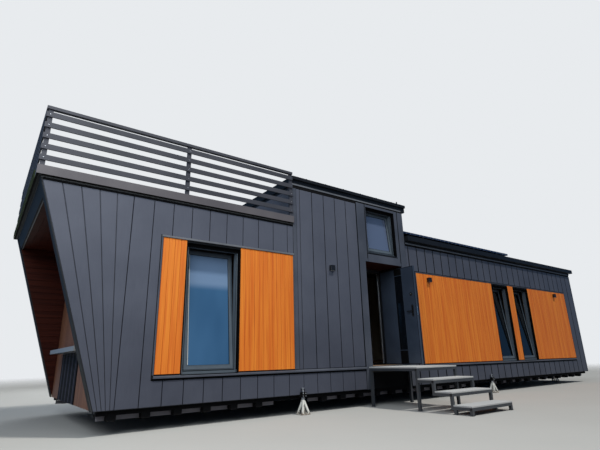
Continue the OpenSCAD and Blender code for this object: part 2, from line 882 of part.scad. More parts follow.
module door_hardware() {
    latch_w = 22;
    latch_h = 200;
    color([0.08, 0.08, 0.09]) in_place() on_leaf() {
        for (s = [0, 1]) translate([0, s * leaf_t, 0]) mirror([0, s, 0]) {
            lever_set();
            lock_knob();
        }
        translate([leaf_w + seat, (leaf_t - latch_w) / 2, handle_up - latch_h / 2])
            cube([3, latch_w, latch_h]);
    }
}

// Right room

// Left edges of its tall windows
right_wins = [for (i = [0, 1]) right_x + right_win_in + i * right_win_pitch];

module right_wall() {
    translate([0, wall_t, 0]) rotate([90, 0, 0]) linear_extrude(height = wall_t) difference() {
        translate([right_x + seat, skirt_z]) square([right_len - seat, right_top - skirt_z]);
        for (x = right_wins) translate([x, win_z]) square([right_win_w, win_h]);
    }
}

module right_front_wall() {
    color(clad) in_place() right_wall();
}

module right_back_wall() {
    color(clad) in_place() translate([0, house_w, 0]) mirror([0, 1, 0]) right_wall();
}

module right_end_wall() {
    color(clad) in_place()
        block(inner_right, end_x, wall_t + seat, inner_back - seat, skirt_z, right_top);
}

module right_roof() {
    color([0.18, 0.18, 0.20]) in_place()
        block(right_x + seat, end_x + roof_eave, -roof_lip, house_w + roof_lip, right_top + seat, roof_z);
}

module gutter() {
    y1 = -roof_lip - seat;
    y0 = y1 - gutter_w;
    z1 = roof_z + 10;
    z0 = z1 - gutter_h;
    t = gutter_t;
    x0 = right_x + tower_eave / 4;
    x1 = end_x + gutter_past;
    color([0.13, 0.13, 0.15]) in_place() {
        long_shape([[y0, z1], [y0, z0], [y1, z0], [y1, z1], [y1 - t, z1], [y1 - t, z0 + t],
            [y0 + t, z0 + t], [y0 + t, z1]], x0, x1);
        // End caps
        for (x = [x0, x1 - t]) block(x, x + t, y0, y1, z0, z1);
    }
}

module solar_panels() {
    foot_z = roof_z + seat;
    panel_z0 = foot_z + solar_up;
    s = solar_rail;
    length = solar_n * (solar_w + solar_gap) - solar_gap;
    row_gap = 3 * s;
    color([0.07, 0.08, 0.14]) in_place() for (row = [0, 1])
        translate([right_x + solar_in, solar_d * row + row_gap * (row + 0.5), 0]) {
            for (i = [0:solar_n - 1]) translate([i * (solar_w + solar_gap), 0, panel_z0])
                cube([solar_w, solar_d, solar_t]);
            // Two rails under each row, on feet
            for (v = [0.2, 0.8]) translate([0, v * solar_d, 0]) {
                block(0, length, 0, s, panel_z0 - s + 1, panel_z0 + 1);
                for (i = [0:solar_n]) let (x = i * (length - s) / solar_n)
                    block(x, x + s, 0, s, foot_z, panel_z0 - s + 2);
            }
        }
}

// Panels, flashings and windows

module panel(x0, x1) {
    block(x0, x1, -panel_t, -seat, panel_z, panel_top);
}

module wood_panels() {
    last = right_wins[1] + right_win_w;
    gap = panel_gap;
    color(timber) in_place() {
        panel(left_win_in - gap - panel_a_w, left_win_in - gap);
        panel(left_win_in + left_win_w + gap, left_len - 2 * gap);
        panel(right_x + panel_c_in, right_wins[0] - gap);
        panel(right_wins[0] + right_win_w + gap, right_wins[1] - gap);
        panel(last + gap, last + gap + panel_e_w);
    }
}

module drip(x0, x1) {
    z = panel_z - panel_lift - 2 * drip_t;
    long_shape([[-drip_d, z], [-seat, z], [-seat, z + 2 * drip_t], [-drip_d, z + drip_t]], x0, x1);
}

module drip_flashings() {
    last = right_wins[1] + right_win_w + panel_e_w;
    past = 20;
    color([0.20, 0.21, 0.23]) in_place() {
        drip(left_win_in - panel_a_w - past, door_x0 - max(surround_w, landing_over) - joint);
        drip(right_x + panel_c_in - past, last + past);
    }
}

// Height that a sash's foot is lifted by, so that its inner corner clears the frame
sash_foot = sash_t * sin(sash_tilt) + joint;
function sash_h(h) = h - 2 * (win_frame + seat) - sash_foot - 2 * joint;

// Fixed frame of one window hole, set back from the wall's face
module window_frame(x0, w, z0, h, set = win_set) {
    ring(x0 + seat, x0 + w - seat, set, set + win_frame_d, z0 + seat, z0 + h - seat, win_frame);
}

// Places a piece of a tilted sash: x across from the frame's opening, y into the sash, z up it
module in_sash(x0, z0, set) {
    translate([x0 + win_frame + seat, set + sash_in, z0 + win_frame + seat + sash_foot])
        rotate([-sash_tilt, 0, 0]) children();
}

// Sash ring of one window hole, w wide and h high, tilted about its foot
module window_sash(x0, w, z0, h, set = win_set) {
    in_sash(x0, z0, set)
        ring(joint, w - 2 * (win_frame + seat) - joint, 0, sash_t, 0, sash_h(h), sash_w);
}

module window_pane(x0, w, z0, h, set = win_set) {
    e = sash_w + seat;
    y = (sash_t - glass_t) / 2;
    in_sash(x0, z0, set)
        block(joint + e, w - 2 * (win_frame + seat) - joint - e, y, y + glass_t, e, sash_h(h) - e);
}

module tall_window_places() {
    both_sides() {
        translate([left_win_in, 0, 0]) children(0);
        for (x = right_wins) translate([x, 0, 0]) children(1);
    }
}

module window_frames() {
    color([0.24, 0.27, 0.33]) in_place() {
        tall_window_places() {
            window_frame(0, left_win_w, win_z, win_h);
            window_frame(0, right_win_w, win_z, win_h);
        }
        window_frame(upper_x0, upper_w, upper_z, upper_h, upper_set);
    }
}

module window_sashes() {
    color([0.20, 0.23, 0.29]) in_place() {
        tall_window_places() {
            window_sash(0, left_win_w, win_z, win_h);
            window_sash(0, right_win_w, win_z, win_h);
        }
        window_sash(upper_x0, upper_w, upper_z, upper_h, upper_set);
    }
}

module window_glass() {
    color([0.45, 0.60, 0.72]) in_place() {
        tall_window_places() {
            window_pane(0, left_win_w, win_z, win_h);
            window_pane(0, right_win_w, win_z, win_h);
        }
        window_pane(upper_x0, upper_w, upper_z, upper_h, upper_set);
    }
}

// A small square box light with its middle at x and z, on a face at y
module wall_light(x, z, y) {
    r = light_w / 2;
    block(x - r, x + r, y - light_d, y - seat, z - r, z + r);
}

module wall_lights() {
    color([0.06, 0.06, 0.07]) in_place() {
        wall_light(tower_x + light_a_in, light_z, 0);
        wall_light(right_x + light_b_in, light_z + 10, -panel_t);
        wall_light(right_x + light_c_in, light_z + 30, -panel_t);
    }
}

// Landing and steps

step_x0 = door_x0 - landing_over;
step_x1 = step_x0 + step_w;

// A rectangular rim of square tube
module rim(y0, y1, z1) {
    difference() {
        block(step_x0, step_x1, y0, y1, z1 - tube, z1);
        block(step_x0 + tube, step_x1 - tube, y0 + tube, y1 - tube, z1 - tube - 1, z1 + 1);
    }
}

module landing_frame() {
    z1 = landing_z - board_t - seat;
    y0 = -landing_d;
    y1 = -surround_t - seat;
    color([0.25, 0.27, 0.29]) in_place() {
        rim(y0, y1, z1);
        block(step_x0 + tube - 1, step_x1 - tube + 1, (y0 + y1 - tube) / 2, (y0 + y1 + tube) / 2,
            z1 - tube, z1);
        for (x = [step_x0, step_x1 - tube])
            for (y = [y0, y1 - tube]) block(x, x + tube, y, y + tube, 0, z1 - tube + 1);
    }
}

module landing_boards() {
    y1 = -surround_t - seat;
    w = (landing_d + y1 + board_gap) / board_n - board_gap;
    color([0.72, 0.72, 0.70]) in_place() for (i = [0:board_n - 1])
        let (y = -landing_d + i * (w + board_gap))
            block(step_x0, step_x1, y, y + w, landing_z - board_t, landing_z);
}

// Height and front edge of step k, counted down from the landing
function step_z(k) = landing_z - k * rise;
function step_y(k) = -landing_d - k * going;

module step_frames() {
    color([0.25, 0.27, 0.29]) in_place() for (k = [1:step_n]) {
        z1 = step_z(k) - board_t - seat;
        y0 = step_y(k);
        foot = k == step_n ? 0 : step_z(k + 1) - board_t - seat - tube;
        rim(y0, step_y(k - 1) - (k == 1 ? seat : 0), z1);
        for (x = [step_x0, step_x1 - tube]) block(x, x + tube, y0, y0 + tube, foot, z1 - tube + 1);
        if (k == step_n) for (x = [step_x0, step_x1 - tube])
            block(x, x + tube, y0 + going - tube, y0 + going, 0, z1 - tube + 1);
    }
}

module step_treads() {
    color([0.72, 0.72, 0.70]) in_place() for (k = [1:step_n])
        block(step_x0, step_x1, step_y(k), step_y(k) + going - joint, step_z(k) - board_t, step_z(k));
}

chassis_rails();
cross_members();
edge_beams();
jack_stands();
jack_screws();
floor_deck();
left_front_wall();
left_back_wall();
left_end_wall();
end_frame();
wood_linings();
counter_front();
counter_top();
terrace_deck();
terrace_kerb();
side_railings();
end_railing();
turf_fringe();
tower_front_left();
tower_front_over();
tower_front_right();
door_skirt();
tower_back_wall();
tower_side_walls();
tower_roof();
entry_surround();
recess_walls();
door_frame();
door_hinges();
door_leaf();
door_glass();
door_hardware();
right_front_wall();
right_back_wall();
right_end_wall();
right_roof();
gutter();
solar_panels();
wood_panels();
drip_flashings();
window_frames();
window_sashes();
window_glass();
wall_lights();
landing_frame();
landing_boards();
step_frames();
step_treads();
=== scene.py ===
# %% [markdown]
# # A tiny house on jack stands, dressed in Blender
#
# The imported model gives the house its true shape: walls, roofs, door, windows, chassis and steps.
# This lesson adds what makes it look built: sheet cladding with open seams, grooved timber, sashes
# with gaskets and handles, roof seams, solar cells, ribbed treads, turf, and a finish for everything.
#
# New pieces are worked out with numpy as grids or carried outlines, so each cell says its formula in
# words first, and then turns whole arrays of points into a mesh at once.

import math

import bpy
import numpy as np
from mathutils import Matrix, Vector


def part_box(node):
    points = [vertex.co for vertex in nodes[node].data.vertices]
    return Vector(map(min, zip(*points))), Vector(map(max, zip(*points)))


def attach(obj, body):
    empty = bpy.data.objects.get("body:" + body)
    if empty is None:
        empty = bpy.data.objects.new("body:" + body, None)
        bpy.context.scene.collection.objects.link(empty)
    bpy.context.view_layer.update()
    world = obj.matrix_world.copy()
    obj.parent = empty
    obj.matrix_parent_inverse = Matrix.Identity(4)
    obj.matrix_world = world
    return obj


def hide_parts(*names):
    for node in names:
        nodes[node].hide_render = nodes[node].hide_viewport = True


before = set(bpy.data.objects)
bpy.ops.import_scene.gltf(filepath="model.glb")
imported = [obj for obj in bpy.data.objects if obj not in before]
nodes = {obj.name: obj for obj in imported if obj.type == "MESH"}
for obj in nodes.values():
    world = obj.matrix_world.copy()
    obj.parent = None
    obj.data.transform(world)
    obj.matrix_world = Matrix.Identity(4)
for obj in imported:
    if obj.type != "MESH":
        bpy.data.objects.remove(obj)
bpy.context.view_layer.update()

# %% [markdown]
# The frame tells where everything is. A few planes and edges are used again and again, so they get
# names here, in metres: the front and back wall faces, the foot of the leaning end, the tower's two
# sides and the heights that the walls reach. Nothing is measured twice. Two small functions give the
# ends of a stretch, because most small pieces are told by where they start and stop.

# %% Planes and edges that the pieces share
class Span:
    """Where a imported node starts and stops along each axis."""

    def __init__(self, node):
        low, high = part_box(node)
        self.x0, self.y0, self.z0 = low
        self.x1, self.y1, self.z1 = high


def inside(start, stop, margin):
    """The two ends of a stretch, each drawn in by a margin."""
    return start + margin, stop - margin


def about(middle, half):
    """The two ends of a stretch that reaches half to each side of its middle."""
    return middle - half, middle + half


left_wall = Span("left_front_wall")
right_wall = Span("right_front_wall")
tower = Span("tower_back_wall")
over_door = Span("tower_front_over")
end_wall = Span("left_end_wall")
panel = Span("wood_panels")
END_WALL_IN = 0.015
FRONT_Y = left_wall.y0
BACK_Y = Span("left_back_wall").y1
WALL_T = left_wall.y1 - left_wall.y0
SKIRT_Z = left_wall.z0
LEFT_TOP = left_wall.z1
RIGHT_TOP = right_wall.z1
TOWER_TOP = tower.z1
LEAN_X = left_wall.x0
FOOT_X = end_wall.x0 - END_WALL_IN
TOWER_X = tower.x0
RIGHT_X = tower.x1
END_X = right_wall.x1
DOOR_X0, DOOR_X1 = over_door.x0, over_door.x1
PANEL_Z0, PANEL_Z1 = panel.z0, panel.z1
print(f"body {END_X - FOOT_X:.2f} m long and {BACK_Y - FRONT_Y:.2f} m wide, tower {TOWER_TOP:.2f} m high")

# %% [markdown]
# ## Camera
#
# The photo was taken with a wide lens from low down near the left end, looking up and to the right.
# Its position and angles were solved from the straight edges of the house. A camera could be aimed
# with a constraint, but three angles and a point are exact and easy to read: yaw turns it towards the
# right, pitch tips it up, and roll is the slight lean of a hand-held picture.

# %% Camera
FOCAL_PX = 429.575
IMAGE_W = 600
SENSOR_MM = 36.0
YAW = math.radians(36.382)
PITCH = math.radians(17.294)
ROLL = math.radians(-1.401)
CAMERA_PLACE = (FOOT_X - 1.285, FRONT_Y - 6.15, 0.867)

ahead = np.array([math.sin(YAW) * math.cos(PITCH), math.cos(YAW) * math.cos(PITCH), math.sin(PITCH)])
level_right = np.array([math.cos(YAW), -math.sin(YAW), 0.0])
level_up = np.cross(level_right, ahead)
cam_right = math.cos(ROLL) * level_right + math.sin(ROLL) * level_up
cam_up = math.cos(ROLL) * level_up - math.sin(ROLL) * level_right

camera_data = bpy.data.cameras.new("camera")
camera_data.sensor_width = SENSOR_MM
camera_data.lens = FOCAL_PX * SENSOR_MM / IMAGE_W
camera_data.clip_end = 400.0
camera = bpy.data.objects.new("camera", camera_data)
place = np.eye(4)
place[:3, :] = np.column_stack([cam_right, cam_up, -ahead, CAMERA_PLACE])
camera.matrix_world = Matrix(place.tolist())
bpy.context.scene.collection.objects.link(camera)
bpy.context.scene.camera = camera
print(f"camera: lens {camera_data.lens:.2f} mm at", [round(v, 2) for v in CAMERA_PLACE])

# %% [markdown]
# ## Meshes from arrays
#
# Every new piece becomes a mesh in one way: an array of points, and lists of faces that are arrays of
# point numbers, one array for each number of corners. Blender's operators could add and bend
# primitives one by one, but arrays are faster and say exactly where each point is. A small recorder
# counts the triangles, because a part should stay light.

# %% Making a piece
triangle_count = {}


def mesh_piece(name, points, faces, finish, body="house", smooth=False, stands_for=()):
    """Turns points (n, 3) and a list of face arrays (k, corners) into an object that rides on a body."""
    mesh = bpy.data.meshes.new(name)
    corners = [face for array in faces for face in array.tolist()]
    mesh.from_pydata(np.asarray(points, float).tolist(), [], corners)
    mesh.polygons.foreach_set("use_smooth", np.full(len(mesh.polygons), smooth))
    mesh.materials.append(finish)
    mesh.update()
    piece = bpy.data.objects.new(name, mesh)
    bpy.context.scene.collection.objects.link(piece)
    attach(piece, body)
    if stands_for:
        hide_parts(*stands_for)
    triangle_count[name] = sum(len(array) * (array.shape[1] - 2) for array in faces)
    print(f"{name}: {len(points)} points, {triangle_count[name]} triangles")


def joined(parts):
    """Puts several (points, faces) pairs one after the other as one pair."""
    points, faces, first = [], [], 0
    for part_points, part_faces in parts:
        points.append(part_points)
        faces += [array + first for array in part_faces]
        first += len(part_points)
    return np.concatenate(points), faces


def spots(x, y, z):
    """Points (k, 3) from numbers and arrays, which are stretched to one another's shape."""
    return np.stack(np.broadcast_arrays(x, y, z), -1).reshape(-1, 3)


# %% [markdown]
# ### Boxes with cut edges
#
# Trims, bars, straps and bolts are small boxes. A real edge is never perfectly sharp, and the thin
# bright line that it catches is what makes it look solid. Each corner of a cube gives three points:
# each lies on one face, and is drawn in by the cut along the other two axes. Six faces, twelve edge
# strips and eight corner triangles close the box, and the same pattern serves any number of boxes.

# %% Boxes with cut edges
CUBE_SIGNS = np.array([[i, j, k] for i in (-1, 1) for j in (-1, 1) for k in (-1, 1)], float)


def box_pattern():
    """Face lists of one box with cut edges, where point 3c + a is corner c's point on face axis a."""
    order = {(-1, -1): 0, (1, -1): 1, (1, 1): 2, (-1, 1): 3}
    quads, triangles = [], [[3 * c, 3 * c + 1, 3 * c + 2] for c in range(8)]
    for a in range(3):
        others = [b for b in range(3) if b != a]
        for sign in (-1, 1):
            ring = [c for c in range(8) if CUBE_SIGNS[c, a] == sign]
            ring.sort(key=lambda c: order[tuple(CUBE_SIGNS[c, others].astype(int))])
            quads.append([3 * c + a for c in ring])
        b, d = others
        for c in range(8):
            if CUBE_SIGNS[c, a] < 0:
                twin = c + (4, 2, 1)[a]
                quads.append([3 * c + b, 3 * twin + b, 3 * twin + d, 3 * c + d])
    sample = np.repeat(CUBE_SIGNS, 3, axis=0) * (0.8 + 0.2 * np.tile(np.eye(3), (8, 1)))
    turned = []
    for face in quads + triangles:
        p = sample[face]
        outward = np.dot(np.cross(p[1] - p[0], p[2] - p[1]), p.mean(0)) > 0
        turned.append(face if outward else face[::-1])
    return np.array(turned[:18]), np.array(turned[18:])


BOX_QUADS, BOX_TRIANGLES = box_pattern()
print("a box with cut edges:", len(BOX_QUADS), "quads and", len(BOX_TRIANGLES), "triangles")


def boxes(rows, cut=0.002):
    """Boxes with cut edges from rows of x0, x1, y0, y1, z0, z1."""
    rows = np.asarray(rows, float).reshape(-1, 3, 2)
    centre = rows.mean(2)
    half = np.abs(rows[:, :, 1] - rows[:, :, 0]) / 2
    small = np.minimum(cut, half.min(1) * 0.6)[:, None, None]
    signs = np.repeat(CUBE_SIGNS, 3, axis=0)
    drawn_in = 1 - np.tile(np.eye(3), (8, 1))
    points = centre[:, None, :] + signs * (half[:, None, :] - small * drawn_in)
    first = (np.arange(len(rows)) * 24)[:, None, None]
    return points.reshape(-1, 3), [(BOX_QUADS + first).reshape(-1, 4), (BOX_TRIANGLES + first).reshape(-1, 3)]


# %% [markdown]
# ### Outlines carried along an axis
#
# A rail, a channel or a grooved board has one outline all along. The outline is given in the two
# other axes, and its points are repeated at the start and at the stop. Neighbouring points make the
# sides, and the outline itself closes each end.

# %% Carried outlines
def carried(outline, axis, start, stop):
    """A closed outline (n, 2) carried along axis 0, 1 or 2 from start to stop, with both ends closed.

    Along X the outline is in Y and Z, along Y in X and Z, and along Z in X and Y."""
    flat = np.asarray(outline, float)
    x, y = flat[:, 0], flat[:, 1]
    area = np.sum(x * np.roll(y, -1) - np.roll(x, -1) * y)
    if (area < 0) != (axis == 1):
        flat = flat[::-1]
    n = len(flat)
    points = np.zeros((2, n, 3))
    points[:, :, [a for a in range(3) if a != axis]] = flat
    points[0, :, axis] = start
    points[1, :, axis] = stop
    i = np.arange(n)
    j = (i + 1) % n
    sides = np.column_stack([i, j, j + n, i + n])
    return points.reshape(-1, 3), [sides, i[::-1][None, :], (i + n)[None, :]]


# %% [markdown]
# ### Round heads
#
# Screws, bolts and weld beads are short cylinders whose rim is drawn in near the top. Three rings of
# points make each: the foot, the shoulder and the smaller top.

# %% Round heads
def dots(centres, axis, radius, height, sides=10):
    """Short cylinders with a drawn-in rim at centres (k, 3), standing along an axis by their height."""
    centres = np.asarray(centres, float).reshape(-1, 3)
    turn = np.linspace(0, 2 * np.pi, sides, endpoint=False)
    a, b = [i for i in range(3) if i != axis]
    levels = np.array([[radius, 0.0], [radius, 0.7 * height], [0.8 * radius, height]])
    ring = np.zeros((3, sides, 3))
    ring[:, :, a] = levels[:, :1] * np.cos(turn)
    ring[:, :, b] = levels[:, :1] * np.sin(turn)
    ring[:, :, axis] = levels[:, 1:]
    points = (centres[:, None, None, :] + ring).reshape(-1, 3)
    i = np.arange(sides)
    j = (i + 1) % sides
    side = np.concatenate([np.column_stack([i, j, j + sides, i + sides]) + sides * k for k in (0, 1)])
    flat_ends = [i[::-1], i + 2 * sides]
    if (axis == 1) != (height < 0):
        side = side[:, ::-1]
        flat_ends = [end[::-1] for end in flat_ends]
    first = (np.arange(len(centres)) * 3 * sides)[:, None, None]
    return points, [(side + first).reshape(-1, 4), (np.array(flat_ends) + first).reshape(-1, sides)]


# %% [markdown]
# ### Faces of the house
#
# Most pieces lie on a wall, a floor or the door's leaf. A face is a point and three directions: along
# it, up it and out of it, so point (s, t, n) is origin + s along + t up + n out. `laid` puts a part on
# a face when the part's own axes run along it, out of it and up it, and `bars` makes a whole piece of
# boxes on one face or several. One list of rows can then serve the front and the back.

# %% Faces of the house
X, Y, Z = np.eye(3)
CLEAR = 0.0004
HAIR = 0.0003


class Face:
    """A flat face of the house: a point, two directions along it and the direction out of it."""

    def __init__(self, origin, along, up, out):
        self.origin, self.along, self.up, self.out = (np.array(v, float) for v in (origin, along, up, out))
        self.flipped = np.dot(np.cross(self.along, self.up), self.out) < 0

    def points(self, s, t, n):
        """Points at s along, t up and n out of the face, as an array with a last axis of 3."""
        return self.origin + s[..., None] * self.along + t[..., None] * self.up + n[..., None] * self.out


def laid(face, part):
    """Moves a part from coordinates along, out of and up a face to its place on the house."""
    points, faces = part
    placed = face.points(points[:, 0], points[:, 2], points[:, 1])
    return placed, faces if face.flipped else [array[:, ::-1] for array in faces]


def bars(name, rows, finish, on=(), cut=0.002, body="house"):
    """A piece of boxes from rows, in the house's own axes or laid on each face in on."""
    part = boxes(rows, cut)
    if on:
        part = joined([laid(face, part) for face in on])
    mesh_piece(name, *part, finish, body)


def frame_rows(x0, x1, z0, z1, inset, width, n0, n1):
    """Four rows of a frame, whose opening is the rectangle x0 to x1, z0 to z1 drawn in by an inset."""
    x0, x1 = inside(x0, x1, inset)
    z0, z1 = inside(z0, z1, inset)
    low, high = z0 - width, z1 + width
    return [(x0 - width, x0, n0, n1, low, high), (x1, x1 + width, n0, n1, low, high),
            (x0, x1, n0, n1, z1, high), (x0, x1, n0, n1, low, z0)]


front = Face((0, FRONT_Y, 0), X, Z, -Y)
back = Face((0, BACK_Y, 0), X, Z, Y)
BOTH = (front, back)
print("two long faces, at y", round(FRONT_Y, 3), "and", round(BACK_Y, 3))

# %% [markdown]
# ### Sheets and boards
#
# A cladding sheet, a soffit board or a deck board is a shallow pan: its four corners lie on a face of
# the house, its edges stand up by the sheet's lift, and its middle bulges a little, as thin metal
# does. Point (u, v) lies between the four corners as (1-u)(1-v)A + u(1-v)B + uvC + (1-u)vD, and it is
# raised by lift inside the edge and by almost nothing on the border. One call makes any number of
# them. Each bulge gets its own phase, a golden angle after the last, so that no two sheets are alike.

# %% Sheets and boards as pans
BORDER = 0.0005
GOLDEN_ANGLE = 2.399


def pans(face, quads, lift, edge=0.004, bulge=0.0, across=6, along=3):
    """Pans on a face from quads (k, 4, 2) of corners foot left, foot right, head right, head left."""
    quads = np.asarray(quads, float).reshape(-1, 4, 2)
    k = len(quads)
    width = np.linalg.norm((quads[:, 1] + quads[:, 2] - quads[:, 0] - quads[:, 3]) / 2, axis=1)
    height = np.linalg.norm((quads[:, 3] + quads[:, 2] - quads[:, 0] - quads[:, 1]) / 2, axis=1)

    def stations(size, steps):
        """Shares 0, edge, even steps, 1 - edge, 1 for each pan."""
        e = np.minimum(edge / size, 0.3)[:, None]
        middle = e + (1 - 2 * e) * np.linspace(0, 1, steps)[None, :]
        return np.concatenate([np.zeros((k, 1)), middle, np.ones((k, 1))], axis=1)

    u = stations(width, across)[:, :, None]
    v = stations(height, along)[:, None, :]
    a, b, c, d = (quads[:, i, None, None, :] for i in range(4))
    uu, vv = u[..., None], v[..., None]
    flat = (1 - uu) * (1 - vv) * a + uu * (1 - vv) * b + uu * vv * c + (1 - uu) * vv * d
    within = (u > 0) & (u < 1) & (v > 0) & (v < 1)
    phase = np.arange(k)[:, None, None] * GOLDEN_ANGLE
    wave = np.sin(np.pi * u) * np.sin(np.pi * v) * (1 + 0.5 * np.sin(7 * v + phase))
    raised = np.where(within, lift + bulge * wave, BORDER)
    points = face.points(flat[..., 0], flat[..., 1], raised)
    nu, nv = across + 2, along + 2
    index = np.arange(nu * nv).reshape(nu, nv)
    cells = np.stack([index[:-1, :-1], index[1:, :-1], index[1:, 1:], index[:-1, 1:]], -1).reshape(-1, 4)
    border = np.concatenate([index[:-1, 0], index[-1, :-1], index[:0:-1, -1], index[0, :0:-1]])[::-1]
    if face.flipped:
        cells, border = cells[:, ::-1], border[::-1]
    first = (np.arange(k) * nu * nv)[:, None, None]
    return points.reshape(-1, 3), [(cells + first).reshape(-1, 4), border + first[:, :, 0]]


def boards(face, quads, lift, edge=0.003, across=3):
    """Flat pans with narrow edges, for boards."""
    return pans(face, quads, lift, edge=edge, across=across, along=2)


def strips(x_edges, z0, z1, gap):
    """Quads of upright sheets between neighbouring x_edges, with half a gap drawn in at each side."""
    x = np.asarray(x_edges, float)
    a, b = x[:-1] + gap / 2, x[1:] - gap / 2
    low, high = np.full(len(a), z0), np.full(len(a), z1)
    return np.stack([np.column_stack(p) for p in ((a, low), (b, low), (b, high), (a, high))], 1)


# %% [markdown]
# ## Shader maths as Python
#
# A material is a graph, but most of it is arithmetic. One small class wraps a socket, so that
# `0.4 + 0.2 * grain` adds the Math nodes by itself, and one method of the paint makes any other node
# from its type, its settings and its inputs. Patterns read Object coordinates, which are the house's
# own metres here, so a pattern's scale can be read straight off the house.

# %% Sockets that can be added and multiplied
class Wire:
    """An output socket that takes part in Python sums."""

    def __init__(self, paint, socket):
        self.paint = paint
        self.socket = socket

    def sum(self, operation, first, second):
        """A Math node's result for two values or wires."""
        return self.paint.node("ShaderNodeMath", {"operation": operation}, {0: first, 1: second})

    def __add__(self, other):
        return self.sum("ADD", self, other)

    def __sub__(self, other):
        return self.sum("SUBTRACT", self, other)

    def __rsub__(self, other):
        return self.sum("SUBTRACT", other, self)

    def __mul__(self, other):
        return self.sum("MULTIPLY", self, other)

    def __truediv__(self, other):
        return self.sum("DIVIDE", self, other)

    def __rtruediv__(self, other):
        return self.sum("DIVIDE", other, self)

    def fract(self):
        """The part after the decimal point, so a steady climb becomes a saw wave."""
        return self.sum("FRACT", self, 0.0)

    def away_from(self, value):
        """The distance from a value, to either side."""
        return self.sum("ABSOLUTE", self - value, 0.0)

    def highest(self, other):
        """The larger of two values."""
        return self.sum("MAXIMUM", self, other)

    __radd__ = __add__
    __rmul__ = __mul__


# %% [markdown]
# ### Colours
#
# A screen colour has channels from 0 to 255 on a curve that suits the eye, while a shader counts light.
# So each channel is made linear: low ones are divided by 12.92, and the others follow a power of 2.4.
# Written this way, a finish keeps numbers that can be compared with a picture of the real thing.

# %% Colours
def srgb(*values):
    """Linear colour of a screen colour with channels from 0 to 255."""
    c = np.array(values, float) / 255
    linear = np.where(c <= 0.04045, c / 12.92, ((c + 0.055) / 1.055) ** 2.4)
    return (*linear.tolist(), 1.0)


def darker(colour, share):
    """A colour with its three channels brought down to a share."""
    return tuple(share * c for c in colour[:3]) + (1.0,)


print("a screen grey of 128 is", round(srgb(128, 128, 128)[0], 3), "of full light")

# %% [markdown]
# ### One paint for each material
#
# A paint holds a material's nodes. It offers the few patterns that the finishes need: streaked noise
# from stretched coordinates, a soft mask between two values, a mix of colours, and the final shader.
# What changes over a surface feeds only the colour, the roughness and the bump.

# %% Paint
class Paint:
    """A material with its nodes."""

    def __init__(self, name, slot):
        self.material = bpy.data.materials.new(name)
        self.material.use_nodes = True
        self.tree = self.material.node_tree
        self.shader = self.tree.nodes["Principled BSDF"]

    def node(self, kind, settings=None, inputs=None, output=0):
        """Adds a node of a kind, sets its settings, then its inputs by values or wires."""
        made = self.tree.nodes.new(kind)
        for name, value in (settings or {}).items():
            if name == "stops":
                ramp = made.color_ramp
                while len(ramp.elements) < len(value):
                    ramp.elements.new(0.5)
                for element, (position, colour) in zip(ramp.elements, value):
                    element.position = position
                    element.color = colour
            else:
                setattr(made, name, value)
        for name, value in (inputs or {}).items():
            self.feed(made.inputs[name], value)
        return Wire(self, made.outputs[output])

    def feed(self, socket, value):
        """Links a wire to a socket, or sets the socket's own value."""
        if isinstance(value, Wire):
            self.tree.links.new(value.socket, socket)
        else:
            socket.default_value = value

    def place(self):
        """The Object coordinates, in metres."""
        return self.node("ShaderNodeTexCoord", output="Object")

    def axis(self, which):
        """One Object coordinate, in metres."""
        return self.node("ShaderNodeSeparateXYZ", {}, {0: self.place()}, which)

    def noise(self, stretch=(1, 1, 1), scale=1.0, detail=3.0, roughness=0.55):
        """Noise from 0 to 1 whose features are 1 / (stretch * scale) metres long along each axis."""
        spot = self.node("ShaderNodeMapping", {}, {0: self.place(), "Scale": stretch})
        return self.node("ShaderNodeTexNoise", {},
                         {"Vector": spot, "Scale": scale, "Detail": detail, "Roughness": roughness})

    def mask(self, value, low, high):
        """0 below low, 1 above high, smooth between."""
        return self.node("ShaderNodeMapRange", {"interpolation_type": "SMOOTHSTEP"},
                         {0: value, 1: low, 2: high})

    def mix(self, factor, a, b):
        """Colour a where factor is 0 and b where it is 1."""
        return self.node("ShaderNodeMix", {"data_type": "RGBA"}, {0: factor, 6: a, 7: b}, 2)

    def finish(self, colour, roughness, bump=None, depth=0.001, strength=1.0, sockets=None):
        """Feeds the shader: a colour, a roughness, a bump height whose unit is depth, and other sockets."""
        fed = {"Base Color": colour, "Roughness": roughness, **(sockets or {})}
        if bump is not None:
            fed["Normal"] = self.node("ShaderNodeBump", {},
                                      {"Strength": strength, "Distance": depth, "Height": bump})
        for name, value in fed.items():
            self.feed(self.shader.inputs[name], value)
        return self.material


# %% [markdown]
# ## Finishes
#
# Each finish is a short function named for what it is on the house. The cladding is dark cool grey
# sheet with a fine upright grain and slow cloudy variation, because a single flat grey would look like
# plastic; it takes no dust. It also climbs to a paler tone at its head, and less so past the tower:
# that is painted light, the upper wall painted as if lit by a brighter sky.

# %% Coated sheet metal
DUST = srgb(128, 124, 116)


def coated_sheet(name, slot, dark, light, grain=0.15, dust=0.0, rough=0.48, shine=0.45, climb=0.0):
    """Dark sheet with fine upright streaks, clouds, dust at the foot, and painted light: a climb to paler at
    the head.
    """
    paint = Paint(name, slot)
    streak = paint.noise(stretch=(260, 260, 5), detail=2)
    cloud = paint.noise(scale=1.3, detail=4)
    low_dust = (1 - paint.mask(paint.axis(2), 0.25, 1.1)) * cloud * dust * 2
    tone = paint.mask(streak * grain + cloud * (1 - grain), 0.3, 0.75)
    # painted light: the sheet turns paler towards its head, as if lit by a brighter sky, and less so past the
    # tower
    past_tower = paint.mask(paint.axis(0), RIGHT_X, RIGHT_X + 0.1)
    head = paint.mask(paint.axis(2), 0.5, 2.4) * (1 - past_tower * 0.6)
    coat = paint.mix(tone * (1 - climb) + head * climb, dark, light)
    return paint.finish(paint.mix(low_dust, coat, DUST), rough - 0.10 + 0.12 * streak + 0.10 * cloud,
                        bump=streak, depth=0.0006, strength=0.25, sockets={"Specular IOR Level": shine})


